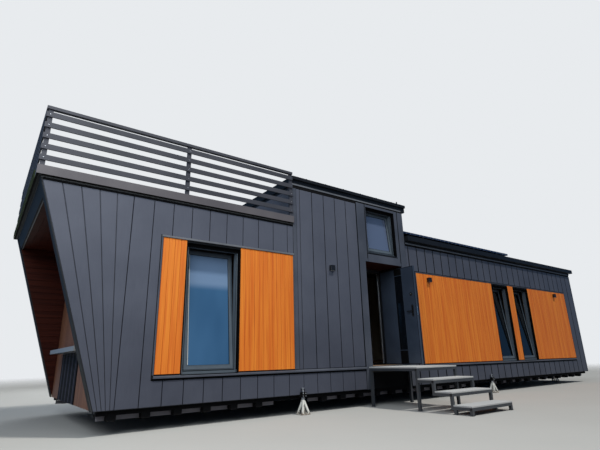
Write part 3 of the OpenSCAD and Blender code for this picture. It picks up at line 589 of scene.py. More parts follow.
cladding = coated_sheet("cladding_coat", "cladding", srgb(61, 64, 75), srgb(84, 88, 100), 0.35, climb=0.5)
trim_metal = coated_sheet("trim_coat", "dark_trim", srgb(62, 66, 75), srgb(80, 84, 94), 0.2, 0.03, 0.42)
# A paler copy of the dark trim: its pale colour is a painted highlight, where trims catch the sky.
lit_trim = coated_sheet("lit_trim", "dark_trim", srgb(92, 95, 100), srgb(112, 115, 120), 0.1, 0.1, 0.36)
# A darker copy of the trim: painted shade on the end frame and under the end kerb's overhang.
shaded_fascia = coated_sheet("shaded_fascia_coat", "dark_trim", srgb(30, 34, 38), srgb(40, 44, 49), dust=0.1,
                            rough=0.55, shine=0.1)
railing_coat = coated_sheet("railing_coat", "railing_grey", srgb(84, 80, 83), srgb(98, 94, 96), rough=0.45)
slat_coat = coated_sheet("slat_coat", "railing_grey", srgb(56, 57, 63), srgb(70, 71, 78), shine=0.3)
roof_coat = coated_sheet("roof_coat", "roof_metal", srgb(15, 17, 21), srgb(24, 27, 32), shine=0.2)
step_paint = coated_sheet("step_paint", "step_steel", srgb(30, 37, 46), srgb(42, 50, 60), 0.1, 0.15)
# Near-black paint of the chassis, also used as painted shade: on the door skirt, at the eaves and under the
# kerbs.
black_paint_and_shade = coated_sheet("black_paint_and_shade", "chassis_black", srgb(9, 9, 10), srgb(16, 16, 17), 0.1,
                             rough=0.8, shine=0.1)
# A grey copy of the black chassis paint: painted light, for the dim lit strip between the hanger blocks.
lit_bar_grey = coated_sheet("lit_bar_grey", "chassis_black", srgb(132, 129, 134), srgb(150, 147, 150), 0.35,
                        rough=0.6)
window_coat = coated_sheet("window_coat", "window_frame", srgb(72, 82, 91), srgb(90, 101, 110), 0.1, 0.1,
                           0.38)
door_coat = coated_sheet("door_coat", "door_grey", srgb(47, 56, 70), srgb(60, 70, 85), 0.25, 0.1, 0.42, 0.2)

# %% [markdown]
# The counter's front is nearly black fluted sheet, and only some of its flutes catch light. A saw wave
# along Y, made by dividing by the pitch and keeping the fraction, marks every third flute, and a mask on
# it paints that flute a little paler: a painted highlight.

# %% Fluted sheet
HIGHLIGHT_FLUTE_PITCH = 0.300


def fluted_sheet():
    """Near-black sheet whose every third flute, counted along Y, is a little paler: a painted highlight."""
    paint = Paint("flute_coat", "counter_black")
    cloud = paint.noise(scale=1.3, detail=4)
    # painted highlight: every third flute is painted paler, as if it caught the light
    pale = paint.mask((paint.axis(1) / HIGHLIGHT_FLUTE_PITCH).fract().away_from(0.5), 0.34, 0.40)
    dark = paint.mix(cloud, srgb(9, 10, 15), srgb(16, 17, 24))
    return paint.finish(paint.mix(pale, dark, srgb(70, 71, 86)), 0.55 + 0.1 * cloud,
                        sockets={"Specular IOR Level": 0.15})


flute_coat = fluted_sheet()

# %% [markdown]
# The base walls show only in the seams, the window reveals and from inside. Outside they are nearly
# black, painted shade for the shadow in an open seam, a reveal and under the leaning end, and inside they
# are pale lining board. One mask on the depth into the wall tells the two apart, and it works for the
# front and the back alike.

# %% Base walls
def base_wall(name, lining, lining_light):
    """Near-black painted shade outside and lined inside, by the distance from the house's middle line."""
    paint = Paint(name, "cladding")
    from_middle = paint.axis(1).away_from((FRONT_Y + BACK_Y) / 2)
    inner_plane = (BACK_Y - FRONT_Y) / 2 - WALL_T
    outside = paint.mask(from_middle, inner_plane + 0.002, inner_plane + 0.004)
    past_end = paint.mask(paint.axis(0), END_X - WALL_T + 0.002, END_X - WALL_T + 0.004)
    under_lean = 1 - paint.mask(paint.axis(0), FOOT_X - 0.010, FOOT_X - 0.005)
    clouds = paint.noise(scale=2.0, detail=4)
    board = paint.mix(clouds, lining, lining_light)
    # painted shade: near black wherever the wall shows outside
    seam = paint.mix(clouds, srgb(5, 5, 6), srgb(10, 10, 12))
    shown = paint.mix(outside.highest(past_end).highest(under_lean), board, seam)
    return paint.finish(shown, 0.62 + 0.1 * clouds, bump=clouds, depth=0.0005, strength=0.2)


base_coat = base_wall("base_wall", srgb(186, 172, 150), srgb(204, 192, 172))
hall_coat = base_wall("hall_wall", srgb(120, 70, 44), srgb(142, 86, 54))

# %% [markdown]
# ### Timber
#
# The orange panels are oiled cedar, sawn into narrow upright boards. Timber is long thin fibres, so
# its noise is stretched many times along the grain: a broad one for the tone of each board, a fine one
# for the fibres, and a few dark streaks where the fine one is high. The same recipe with other colours
# makes the brown boards and the floors. The end wall's cedar, the brown boards and the floor slab are
# painted darker than their own colour: painted shade, for the shade they stand in.

# %% Timber
FIBRES = 190


def timber(name, slot, pale, deep, streak, grain_axis, shine=0.4):
    """Timber whose grain runs along one axis, with its fibres counted in a metre across it."""
    paint = Paint(name, slot)

    def stretched(across, along):
        """A stretch that is one value along the grain and another across it."""
        return tuple(along if axis == grain_axis else across for axis in range(3))

    fibre = paint.noise(stretch=stretched(FIBRES, 2.2), detail=3, roughness=0.6)
    tone = paint.noise(stretch=stretched(13, 0.45), detail=3, roughness=0.6)
    wave = paint.noise(stretch=stretched(46, 1.1), detail=2)
    body = paint.mix(paint.mask(tone * 0.6 + wave * 0.4, 0.34, 0.66), pale, deep)
    dark = paint.mask(fibre * 0.55 + wave * 0.45, 0.54, 0.72) * 0.45
    return paint.finish(paint.mix(dark, body, streak), 0.45 + 0.18 * fibre, bump=fibre, depth=0.0008,
                        strength=0.35, sockets={"Specular IOR Level": shine})


cedar = timber("oiled_cedar", "orange_timber", srgb(234, 136, 42), srgb(214, 106, 26), srgb(156, 70, 18), 2)
# A darker copy of the cedar: painted shade on the end wall under the leaning top.
shaded_end_cedar = timber("shaded_cedar", "orange_timber", srgb(142, 96, 70), srgb(112, 70, 48), srgb(72, 42, 28), 2)
# The brown boards are real dark timber, painted darker still as painted shade; the recess uprights darkest.
umber_along = timber("umber_boards", "dark_timber", srgb(70, 29, 19), srgb(50, 19, 13), srgb(26, 10, 8), 0,
                     shine=0.1)
umber_up = timber("umber_uprights", "dark_timber", srgb(54, 22, 14), srgb(40, 15, 10), srgb(20, 7, 6), 2,
                  shine=0.1)
# A near-black copy of the floor timber: painted shade for the slab's edges, which lie in shade.
shaded_floor_slab = timber("shaded_floor_slab", "floor_board", srgb(34, 31, 29), srgb(28, 26, 24), srgb(18, 17, 16), 0)
floor_wood = timber("floor_boards", "floor_board", srgb(178, 142, 104), srgb(150, 114, 80),
                    srgb(108, 78, 52), 0)

# %% [markdown]
# ### Metals, enamel, rubber and plastics
#
# Small pieces need small detail: enamel chips near the feet of the jacks, zinc has a faint cloudy
# spangle, and moulded plastic is nearly even with a fine dimple. Each is one short function.

# %% Metals and plastics
def enamel(name, slot, colour, chipped):
    """Glossy enamel with chips and rust that thicken towards the ground."""
    paint = Paint(name, slot)
    patch = paint.noise(scale=46, detail=5, roughness=0.65)
    near_ground = 1 - paint.mask(paint.axis(2), 0.0, 0.09)
    chips = paint.mask(patch + near_ground * 0.14, 0.60, 0.66)
    rust = paint.mix(paint.noise(scale=120, detail=2), chipped, srgb(92, 60, 40))
    stain = paint.mix(near_ground * patch * 0.8, colour, srgb(140, 128, 108))
    return paint.finish(paint.mix(chips, stain, rust), 0.34 + 0.4 * chips, bump=1 - chips,
                        depth=0.0006, strength=0.5)


def bright_metal(name, slot, colour, rough=0.32, scale=60):
    """Bare metal with a cloudy spangle and fine scratches."""
    paint = Paint(name, slot)
    spangle = paint.noise(scale=scale, detail=2)
    scratch = paint.noise(stretch=(40, 40, 900), detail=1)
    return paint.finish(paint.mix(spangle, colour, darker(colour, 0.75)), rough + 0.15 * spangle,
                        bump=scratch, depth=0.0002, strength=0.3, sockets={"Metallic": 1.0})


def moulded(name, slot, colour, rough=0.45, scale=400, spread=0.12, shine=0.5):
    """Moulded plastic or rubber: nearly even, with fine dimples."""
    paint = Paint(name, slot)
    dimple = paint.noise(scale=scale, detail=2)
    cloud = paint.noise(scale=3, detail=3)
    return paint.finish(paint.mix(cloud, colour, darker(colour, 1 - 2 * spread)), rough + 0.1 * cloud,
                        bump=dimple, depth=0.0003, strength=0.3, sockets={"Specular IOR Level": shine})


jack_enamel = enamel("jack_enamel", "jack_white", srgb(222, 222, 214), srgb(120, 110, 100))
zinc = bright_metal("zinc_plate", "bare_steel", srgb(176, 178, 180))
shaded_frame = bright_metal("shaded_aluminium", "pale_frame", srgb(70, 72, 75), rough=0.5, scale=9)
pale_aluminium = bright_metal("pale_aluminium", "pale_frame", srgb(196, 198, 200), rough=0.36, scale=9)
latch_steel = bright_metal("latch_steel", "bare_steel", srgb(214, 214, 212), rough=0.22)
black_hardware = moulded("black_hardware", "hardware_black", srgb(20, 20, 23), rough=0.34)
gasket = moulded("gasket_rubber", "window_frame", srgb(9, 9, 10), rough=0.7, shine=0.08)
# The counter top's white laminate is greyed: painted shade.
shaded_laminate = moulded("shaded_laminate", "counter_white", srgb(164, 165, 163), rough=0.25, spread=0.03)
lens_plastic = moulded("lens_plastic", "counter_white", srgb(206, 206, 198), rough=0.3, spread=0.05)
deck_membrane = moulded("deck_membrane", "deck_membrane", srgb(112, 114, 114), rough=0.75, scale=160)
tread_board = moulded("tread_board", "step_board", srgb(178, 179, 178), rough=0.62, scale=240, spread=0.08)

# %% [markdown]
# ### Glass
#
# The windows mirror the sky and let a little of the dark room through, so they read as deep blue. A
# fully clear glass would show only the lining inside, so this glass is tinted: mostly a smooth glossy
# blue coat, partly see-through, with a slow wave that bends its reflections a little. The blue coat is
# partly a painted reflection of the sky. The tall panes are painted paler above two metres, a painted
# reflection of brighter sky, the upper window is painted duller, and past the tower the panes carry a
# painted dark reflection. The door's glass is a darker copy, a painted dark reflection.

# %% Glass and solar cells
CELL = 0.158
CELL_LINE = 0.03


def glass_with_painted_reflection(name, deep, pale, painted_dark_reflection=None):
    """Smooth tinted glass that is partly see-through; given a dark colour, it gets painted reflection: paler
    near the head and dark past the tower.
    """
    paint = Paint(name, "clear_glass")
    haze = paint.noise(stretch=(1.4, 1.4, 0.5), scale=1.1, detail=2)
    tone = paint.mix(haze, deep, pale)
    if painted_dark_reflection is not None:
        # painted reflection: paler for brighter sky near the head, a duller upper window, dark past the tower
        up, along = paint.axis(2), paint.axis(0)
        tone = paint.mix(paint.mask(up, 1.92, 2.06) * 0.7, tone, srgb(134, 158, 188))
        tone = paint.mix(paint.mask(up, 2.7, 2.8) * 0.9, tone, srgb(90, 102, 128))
        tone = paint.mix(paint.mask(along, RIGHT_X + 0.1, RIGHT_X + 0.2), tone, painted_dark_reflection)
    return paint.finish(tone, 0.04 + 0.05 * haze, bump=haze, depth=0.002, strength=0.08,
                        sockets={"Alpha": 0.86, "Specular IOR Level": 0.8})


def solar_cells():
    """Dark cells in a grid of thin pale lines, under a glossy coat."""
    paint = Paint("solar_cells", "solar_cell")
    across = (paint.axis(0) / CELL).fract().away_from(0.5)
    down = (paint.axis(1) / CELL).fract().away_from(0.5)
    busbar = (paint.axis(0) / (CELL / 3)).fract().away_from(0.5)
    grid = paint.mask(across.highest(down), 0.5 - CELL_LINE, 0.5 - CELL_LINE * 0.6)
    busbars = paint.mask(busbar, 0.482, 0.49) * 0.4
    sheen = paint.noise(scale=7, detail=2)
    cell_colour = paint.mix(sheen, srgb(16, 22, 46), srgb(24, 32, 62))
    face = paint.mix(grid.highest(busbars), cell_colour, srgb(150, 156, 168))
    return paint.finish(face, 0.16 + 0.06 * sheen, sockets={"Coat Weight": 0.6})


glass = glass_with_painted_reflection("glass_with_painted_reflection", srgb(22, 60, 96), srgb(84, 128, 168), srgb(7, 11, 14))
# The door's glass is a darker copy: a painted dark reflection.
dark_reflection_glass = glass_with_painted_reflection("dark_reflection_glass", srgb(10, 13, 18), srgb(18, 23, 30))
cells = solar_cells()

# %% [markdown]
# ### Turf
#
# Artificial turf is many thin blades of two greens with some straw-coloured ones. The blades are real
# geometry further down, so the finish only varies the colour from place to place.

# %% Turf
def turf_finish():
    """Greens that change from blade to blade."""
    paint = Paint("turf_blades", "turf")
    patch = paint.noise(scale=130, detail=1)
    broad = paint.noise(scale=4, detail=3)
    stops = [(0.30, srgb(20, 34, 13)), (0.52, srgb(42, 62, 24)), (0.72, srgb(92, 98, 46))]
    green = paint.node("ShaderNodeValToRGB", {"stops": stops}, {0: patch})
    return paint.finish(paint.mix(broad * 0.5, green, srgb(24, 38, 15)), 0.7 + 0.1 * patch,
                        bump=patch, depth=0.001, strength=0.2)


turf_green = turf_finish()

# %% [markdown]
# ## Light, sky and floor
#
# The photo has the soft light of a bright day: the sun stands high in front of the house and a little
# to the right, and the sky is brighter on the left than on the right. A sun lamp with a wide disc
# gives soft-edged shadows, and a large round lamp is the bright side of the sky. Another round lamp
# behind the house lights the side that the photo doesn't show.

# %% Lamps
SKY_TINT = (0.90, 0.95, 1.0)
SUN_TINT = (1.0, 0.965, 0.91)


def lamp(name, kind, energy, colour, turned, **settings):
    """A lamp of a kind with its energy, colour and turn, and the settings of its shape."""
    data = bpy.data.lights.new(name, kind)
    data.energy = energy
    data.color = colour
    for setting, value in settings.items():
        setattr(data, setting, value)
    made = bpy.data.objects.new(name, data)
    made.rotation_euler = turned
    bpy.context.scene.collection.objects.link(made)
    return made


def sky_lamp(name, size, energy, place, aim):
    """A large round lamp at a place, turned to the point it aims at."""
    turned = (Vector(aim) - Vector(place)).to_track_quat("-Z", "Y").to_euler()
    made = lamp(name, "AREA", energy, SKY_TINT, turned, shape="DISK", size=size)
    made.location = place


lamp("sun", "SUN", 2.3, SUN_TINT, (math.radians(28), math.radians(11), 0), angle=math.radians(6))
sky_lamp("bright_sky", 9.0, 780.0, (FOOT_X - 3.5, FRONT_Y - 5.5, 7.5), (FOOT_X + 2.0, FRONT_Y, 2.2))
sky_lamp("far_sky", 10.0, 900.0, (RIGHT_X + 1.0, BACK_Y + 9.0, 6.0), (RIGHT_X + 1.0, BACK_Y, 1.5))
print("lamps:", len(bpy.data.lights))

# %% [markdown]
# The world gives the even light from all sides. A picture of a sky could do that too, but plain colours
# keep the reflections calm. Glossy surfaces mirror a blue sky, while the camera sees a pale one.

# %% Sky
SKY = srgb(232, 235, 238)
world = bpy.data.worlds.new("sky")
world.use_nodes = True
bpy.context.scene.world = world
sky_tree = world.node_tree
rays = sky_tree.nodes.new("ShaderNodeLightPath")


def sky_shade(node, colour, strength=1.0):
    """The output of a background node with its colour and strength."""
    node.inputs["Color"].default_value = colour
    node.inputs["Strength"].default_value = strength
    return node.outputs[0]


def for_rays(kind, others, colour, strength=1.0):
    """Another sky for one kind of ray, mixed over what the other rays see."""
    shade = sky_shade(sky_tree.nodes.new("ShaderNodeBackground"), colour, strength)
    mixed = sky_tree.nodes.new("ShaderNodeMixShader")
    for socket, wire in zip(mixed.inputs, (rays.outputs[kind], others, shade)):
        sky_tree.links.new(wire, socket)
    return mixed.outputs[0]


day = sky_shade(sky_tree.nodes["Background"], srgb(214, 226, 240), 0.28)
day = for_rays("Is Camera Ray", day, SKY)
day = for_rays("Is Glossy Ray", day, srgb(104, 160, 220), 0.38)
sky_tree.links.new(day, sky_tree.nodes["World Output"].inputs["Surface"])
print("sky nodes:", len(sky_tree.nodes))

# %% [markdown]
# The floor is plain and pale and thins out into the background, so that it has no edge. That pale
# floor is what the camera, mirrors and glass see. For all other light it is darker, because little
# light comes up under the house in the photo.

# %% Floor
FLOOR_HALF = 70.0
FLOOR_FADE = (13.0, 34.0)
FLOOR_DROP = 0.002
floor_paint = Paint("floor_paint", "floor_board")
distance = floor_paint.node("ShaderNodeVectorMath", {"operation": "LENGTH"}, {0: floor_paint.place()}, 1)
clouds = floor_paint.noise(scale=0.5, detail=3)
pale_floor = floor_paint.mix(clouds, srgb(168, 168, 164), srgb(176, 176, 172))
seen = [floor_paint.node("ShaderNodeLightPath", output=f"Is {kind} Ray")
        for kind in ("Camera", "Glossy", "Transmission")]
floor_paint.finish(floor_paint.mix(seen[0] + seen[1] + seen[2], srgb(86, 86, 88), pale_floor), 0.9,
                   sockets={"Alpha": 1 - floor_paint.mask(distance, *FLOOR_FADE)})
floor_mesh = bpy.data.meshes.new("floor")
signs = ((-1, -1), (1, -1), (1, 1), (-1, 1))
floor_corners = [(FLOOR_HALF * i, FLOOR_HALF * j, -FLOOR_DROP) for i, j in signs]
floor_mesh.from_pydata(floor_corners, [], [[0, 1, 2, 3]])
floor_mesh.materials.append(floor_paint.material)
floor = bpy.data.objects.new("floor", floor_mesh)
bpy.context.scene.collection.objects.link(floor)
bpy.context.scene.view_settings.view_transform = "Standard"
print("floor", 2 * FLOOR_HALF, "m wide, faded out", FLOOR_FADE[1], "m from its middle")

# %% [markdown]
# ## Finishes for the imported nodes
#
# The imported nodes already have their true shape, so most only need a finish. A list of the nodes of
# each finish shows at a glance which parts of the house are of one stuff. The four nodes that a made
# piece stands for get the same finish as that piece.

# %% Nodes and their finishes
coats = {
    base_coat: ["left_front_wall", "left_back_wall", "right_front_wall", "right_back_wall",
                "right_end_wall"],
    hall_coat: ["tower_front_left", "tower_front_over", "tower_front_right", "tower_back_wall"],
    trim_metal: ["entry_surround", "drip_flashings"],
    shaded_fascia: ["end_frame"],
    roof_coat: ["right_roof", "tower_roof", "tower_side_walls", "gutter"],
    railing_coat: ["terrace_kerb"],
    slat_coat: ["side_railings", "end_railing"],
    # The door skirt takes the near-black paint as painted shade, for the deep shade under the landing.
    black_paint_and_shade: ["chassis_rails", "cross_members", "edge_beams", "door_skirt"],
    jack_enamel: ["jack_stands"],
    zinc: ["jack_screws", "door_hinges"],
    shaded_floor_slab: ["floor_deck"],
    shaded_end_cedar: ["left_end_wall"],
    umber_along: ["wood_linings", "recess_walls"],
    flute_coat: ["counter_front"],
    shaded_laminate: ["counter_top"],
    deck_membrane: ["terrace_deck"],
    turf_green: ["turf_fringe"],
    shaded_frame: ["door_frame"],
    door_coat: ["door_leaf"],
    black_hardware: ["door_hardware", "wall_lights"],
    glass: ["window_glass"],
    dark_reflection_glass: ["door_glass"],
    window_coat: ["window_frames", "window_sashes"],
    cells: ["solar_panels"],
    step_paint: ["landing_frame", "step_frames"],
    tread_board: ["landing_boards", "step_treads"],
    cedar: ["wood_panels"],
}
for finish, names in coats.items():
    for name in names:
        nodes[name].data.materials.clear()
        nodes[name].data.materials.append(finish)
print("coated nodes:", sum(len(names) for names in coats.values()), "of", len(nodes))

# %% [markdown]
# ## Cladding
#
# The house is clad in upright metal sheets about 300 mm wide. On the real house each is folded over at
# its edges and hung with an open dark seam to the next. A seam could be drawn in the finish, but real
# sheets with a gap throw a true shadow and catch light at their folded edge, so each sheet is a pan
# that stands 8 mm off the wall. Above and below the bands of timber and windows the sheets are short.

# %% Where the sheets stop and start
LIFT = 0.008
BULGE = 0.0012
SEAM = 0.0055
TOWER_SEAM = 0.011
WIDE_SEAM = 0.026
SHEET_PITCH = 0.3
SHEET_W = 0.295
CORNER = 0.036
FOOT_Z = SKIRT_Z + 0.006
BAND_Z0 = Span("drip_flashings").z0
BAND_Z1 = PANEL_Z1 + 0.038
BAND_FOOT = BAND_Z0 - 0.030
DRIP_TOP = BAND_Z0 + 0.046
LEFT_HEAD = LEFT_TOP - 0.035
RIGHT_HEAD = RIGHT_TOP - 0.066
TOWER_HEAD = TOWER_TOP - 0.066
FIRST_SEAM = FOOT_X + 0.25
RIGHT_PANEL_X = RIGHT_X + 0.283
GROUP_A = panel.x0 - 0.03
GROUP_C = RIGHT_PANEL_X - 0.02
GROUP_E = panel.x1 + 0.015
SURROUND_X = Span("entry_surround").x0


def even_edges(start, stop, pitch):
    """Edges from start to stop in equal steps as near to the pitch as they can be."""
    return np.linspace(start, stop, max(1, round((stop - start) / pitch)) + 1)


def lean_at(z):
    """X of the leaning edge at a height."""
    return FOOT_X + (LEAN_X - FOOT_X) * (z - SKIRT_Z) / (LEFT_TOP - SKIRT_Z)


print("band of timber and windows from", round(BAND_Z0, 3), "to", round(BAND_Z1, 3))

# %% [markdown]
# The left end leans out under the terrace, and its five sheets fan out with it: at the foot each is
# narrow and at the top wide. Their edges are the straight lines from equal shares of the foot to equal
# shares of the head.

# %% The fan of sheets on the leaning end
FAN_SHEETS = 5
FAN_EDGE = 0.006


def fan_quads():
    """Quads between lines that join equal shares of the foot and of the head of the leaning part."""
    corners = []
    for z in (FOOT_Z, LEFT_HEAD):
        x0 = lean_at(z) + FAN_EDGE
        x = x0 + np.linspace(0, 1, FAN_SHEETS + 1) * (FIRST_SEAM - x0)
        for ends in inside(x[:-1], x[1:], SEAM / 2):
            corners.append(np.column_stack([ends, np.full(FAN_SHEETS, z)]))
    foot_a, foot_b, head_a, head_b = corners
    return np.stack([foot_a, foot_b, head_b, head_a], 1)


print("the end leans out by", round(FOOT_X - lean_at(LEFT_TOP), 3), "m at its head")

# %% [markdown]
# On the front, the sheets keep one rhythm from end to end. Above and below the timber they are short,
# and beside it a sheet is cut narrow. The narrow piece laps 12 mm under the short ones, so that it
# reads as one sheet with a notch. The tower has its sheets to the left of the doorway, after a narrow
# one beside its flat corner trim.

# %% Front cladding
LAP = 0.012
TOWER_FIRST = TOWER_X + 0.165
beside = (BAND_FOOT - LAP, BAND_Z1 + LAP)
room_edges = np.append(FIRST_SEAM + SHEET_PITCH * np.arange(1, 10), TOWER_X)
low_edges = np.append(room_edges[:-1], TOWER_FIRST)
run_edges = even_edges(FOOT_X + 6.235, END_X - CORNER, SHEET_W)
last_edge = run_edges[run_edges > GROUP_E + 0.05][0]
band_edges = run_edges[run_edges <= last_edge]
end_run = run_edges[run_edges >= last_edge]
tower_edges = even_edges(TOWER_FIRST, SURROUND_X - 0.010, SHEET_W)
sheet_runs = [
    ([FIRST_SEAM, room_edges[0]], FOOT_Z, LEFT_HEAD, SEAM),
    ([room_edges[0], GROUP_A], *beside, SEAM),
    (low_edges, FOOT_Z, BAND_FOOT, SEAM),
    (room_edges, BAND_Z1, LEFT_HEAD, SEAM),
    ([TOWER_X + 0.080, TOWER_FIRST], DRIP_TOP, TOWER_HEAD, TOWER_SEAM),
    (tower_edges, DRIP_TOP, TOWER_HEAD, TOWER_SEAM),
    (tower_edges, FOOT_Z, BAND_FOOT, SEAM),
    ([RIGHT_X + 0.004, run_edges[0]], FOOT_Z, RIGHT_HEAD, WIDE_SEAM),
    ([run_edges[0], GROUP_C], *beside, WIDE_SEAM),
    (band_edges, FOOT_Z, BAND_FOOT, WIDE_SEAM),
    (band_edges, BAND_Z1, RIGHT_HEAD, WIDE_SEAM),
    ([GROUP_E, last_edge], *beside, WIDE_SEAM),
    (end_run, FOOT_Z, RIGHT_HEAD, WIDE_SEAM),
]
front_quads = np.concatenate([fan_quads()] + [strips(*run) for run in sheet_runs])
mesh_piece("front_cladding", *pans(front, front_quads, LIFT, bulge=BULGE, along=4), cladding)

# %% [markdown]
# In each seam lies a black rubber strip, a little lower than the sheets. Seen along the wall, a seam
# shows only its far side, and without the strip it would vanish there.

# %% Strips in the seams
STRIP_N = LIFT - 0.0014


def seam_rows(edges, z0, z1, seam):
    """Rows of thin upright boxes in the seams between neighbouring sheets."""
    return [(*about(x, seam / 2), CLEAR, STRIP_N, *inside(z0, z1, 0.001)) for x in edges[1:-1]]


front_seams = [row for run in sheet_runs for row in seam_rows(*run)]
for seam, head, joints in ((WIDE_SEAM, RIGHT_HEAD, (run_edges[0], last_edge)),
                           (SEAM, LEFT_HEAD, (FIRST_SEAM, room_edges[0]))):
    front_seams += [(*about(x, seam / 2), CLEAR, STRIP_N, FOOT_Z, head) for x in joints]
bars("seam_strips", front_seams, gasket, (front,), 0.0008)

# %% [markdown]
# The back isn't seen in the photo. It repeats the front's sheets plainly, with the same windows cut in
# and without timber, because such houses are clad alike on both long sides. Each run is cut short
# above and below the windows that it meets.

# %% Cladding of the back and the two ends
WINDOW_Z0 = SKIRT_Z + 0.395
WINDOW_Z1 = WINDOW_Z0 + 1.92
WINDOWS_LEFT = [(FOOT_X + 1.095, FOOT_X + 2.005)]
WINDOWS_RIGHT = [(FOOT_X + 9.435, FOOT_X + 10.205), (FOOT_X + 10.495, FOOT_X + 11.265)]
HOLE_MARGIN = 0.03


def clad_run(start, stop, holes, head):
    """Sheets from start to stop that leave out holes (x0, x1) of the windows' height."""
    quads = []
    for a, b in [(a - HOLE_MARGIN, b + HOLE_MARGIN) for a, b in holes] + [(stop, stop)]:
        quads.append(strips(even_edges(start, a, SHEET_W), FOOT_Z, head, SEAM))
        if b > a:
            short = even_edges(a, b, SHEET_W)
            quads.append(strips(short, FOOT_Z, WINDOW_Z0 - HOLE_MARGIN, SEAM))
            quads.append(strips(short, WINDOW_Z1 + HOLE_MARGIN, head, SEAM))
        start = b
    return quads


back_quads = np.concatenate([fan_quads()]
                            + clad_run(FIRST_SEAM, TOWER_X, WINDOWS_LEFT, LEFT_HEAD)
                            + clad_run(TOWER_X + 0.004, RIGHT_X - CORNER, [], TOWER_HEAD)
                            + clad_run(RIGHT_X + 0.004, END_X - CORNER, WINDOWS_RIGHT, RIGHT_HEAD))
mesh_piece("back_cladding", *pans(back, back_quads, LIFT, bulge=BULGE, along=4), cladding)

deck = Span("terrace_deck")
roof = Span("right_roof")
end_runs = [(END_X, X, FOOT_Z, RIGHT_HEAD), (TOWER_X, -X, deck.z1 + 0.06, TOWER_HEAD),
            (RIGHT_X, X, roof.z1 + 0.06, TOWER_HEAD)]
end_edges = even_edges(*inside(FRONT_Y, BACK_Y, CORNER), SHEET_W)
end_sheets = [pans(Face((x, 0, 0), Y, Z, out), strips(end_edges, foot, head, SEAM), LIFT, bulge=BULGE)
              for x, out, foot, head in end_runs]
mesh_piece("end_cladding", *joined(end_sheets), cladding)

# %% [markdown]
# ### Trims
#
# Where sheets meet at a corner or stop under a roof, a folded metal trim covers their ends. Corner
# trims are angles carried upright. The eaves have a pale strip, a painted highlight of the sky, over a
# black strip of painted shadow. Around each band of timber and windows runs a thin dark frame, and the
# left band has a pale cap, also a painted highlight.

# %% Corner angles
ANGLE_T = 0.0095
kerb = Span("terrace_kerb")
gutter = Span("gutter")


def corner_angle(x, y, sx, sy, z0, z1):
    """An angle outside the corner at x, y, whose legs run back along -sx and -sy."""
    leg_x, near_x, out_x = (x + sx * far for far in (-CORNER, CLEAR, ANGLE_T))
    leg_y, near_y, out_y = (y + sy * far for far in (-CORNER, CLEAR, ANGLE_T))
    outside = [(leg_x, out_y), (out_x, out_y), (out_x, leg_y)]
    return carried(outside + [(near_x, leg_y), (near_x, near_y), (leg_x, near_y)], 2, z0, z1)


angles = [
    corner_angle(END_X, FRONT_Y, 1, -1, SKIRT_Z, RIGHT_HEAD),
    corner_angle(END_X, BACK_Y, 1, 1, SKIRT_Z, RIGHT_HEAD),
    corner_angle(TOWER_X, FRONT_Y, -1, -1, kerb.z1 + 0.002, TOWER_HEAD),
    corner_angle(TOWER_X, BACK_Y, -1, 1, kerb.z1 + 0.002, TOWER_HEAD),
    corner_angle(RIGHT_X, BACK_Y, 1, 1, gutter.z1 + 0.002, TOWER_HEAD),
]
mesh_piece("corner_angles", *joined(angles), trim_metal)

# %% [markdown]
# The strips are thin boxes on the two long faces, so one list of rows serves the front and the back.
# The frames, the cap and the black strips of painted shadow are on the front only.

# %% Eaves strips and frames around the timber
GAP = 0.004
FRAME_TOP = PANEL_Z1 + 0.003
OVER_DOOR_Z = 2.80
# Black strips at the heads of the walls paint the shadow under the kerb and the roofs.
eaves_shadow_rows = [
    (FOOT_X - 0.92, TOWER_X - 0.002, CLEAR, 0.012, LEFT_TOP - 0.030, LEFT_TOP - 0.002),
    (TOWER_X + 0.002, RIGHT_X - 0.002, CLEAR, 0.012, TOWER_TOP - 0.064, TOWER_TOP - 0.001),
    (RIGHT_X + 0.004, END_X - 0.002, CLEAR, 0.012, RIGHT_TOP - 0.064, RIGHT_TOP - 0.001),
]
# The pale strips are lit trim: a painted highlight where the eaves catch the sky.
pale_rows = [
    (TOWER_X - 0.018, RIGHT_X - 0.034, 0.0155, 0.0215, TOWER_TOP - 0.008, TOWER_TOP + 0.022),
    (RIGHT_X + 0.03, END_X + 0.005, 0.0155, 0.020, RIGHT_TOP - 0.027, RIGHT_TOP + 0.004),
]
bars("eaves_shadow_strips", eaves_shadow_rows, black_paint_and_shade, BOTH)
bars("pale_strips", pale_rows, lit_trim, BOTH)

uprights = [(GROUP_A + GAP, GROUP_A + 0.026), (TOWER_X - 0.018, TOWER_X - GAP),
            (GROUP_C + GAP, GROUP_C + 0.016), (GROUP_E - 0.012, GROUP_E - GAP)]
group_rows = [(x0, x1, CLEAR, 0.024, DRIP_TOP - GAP, FRAME_TOP) for x0, x1 in uprights]
group_rows += [(*inside(GROUP_C, GROUP_E, GAP), CLEAR, 0.024, PANEL_Z1 + GAP, PANEL_Z1 + 0.020),
               (TOWER_X + GAP, TOWER_X + 0.076, CLEAR, 0.0125, DRIP_TOP, TOWER_HEAD)]
# The pale cap is lit trim: a painted highlight.
cap_rows = [(*inside(GROUP_A, TOWER_X, GAP), CLEAR, 0.030, PANEL_Z1 + GAP, PANEL_Z1 + 0.034)]
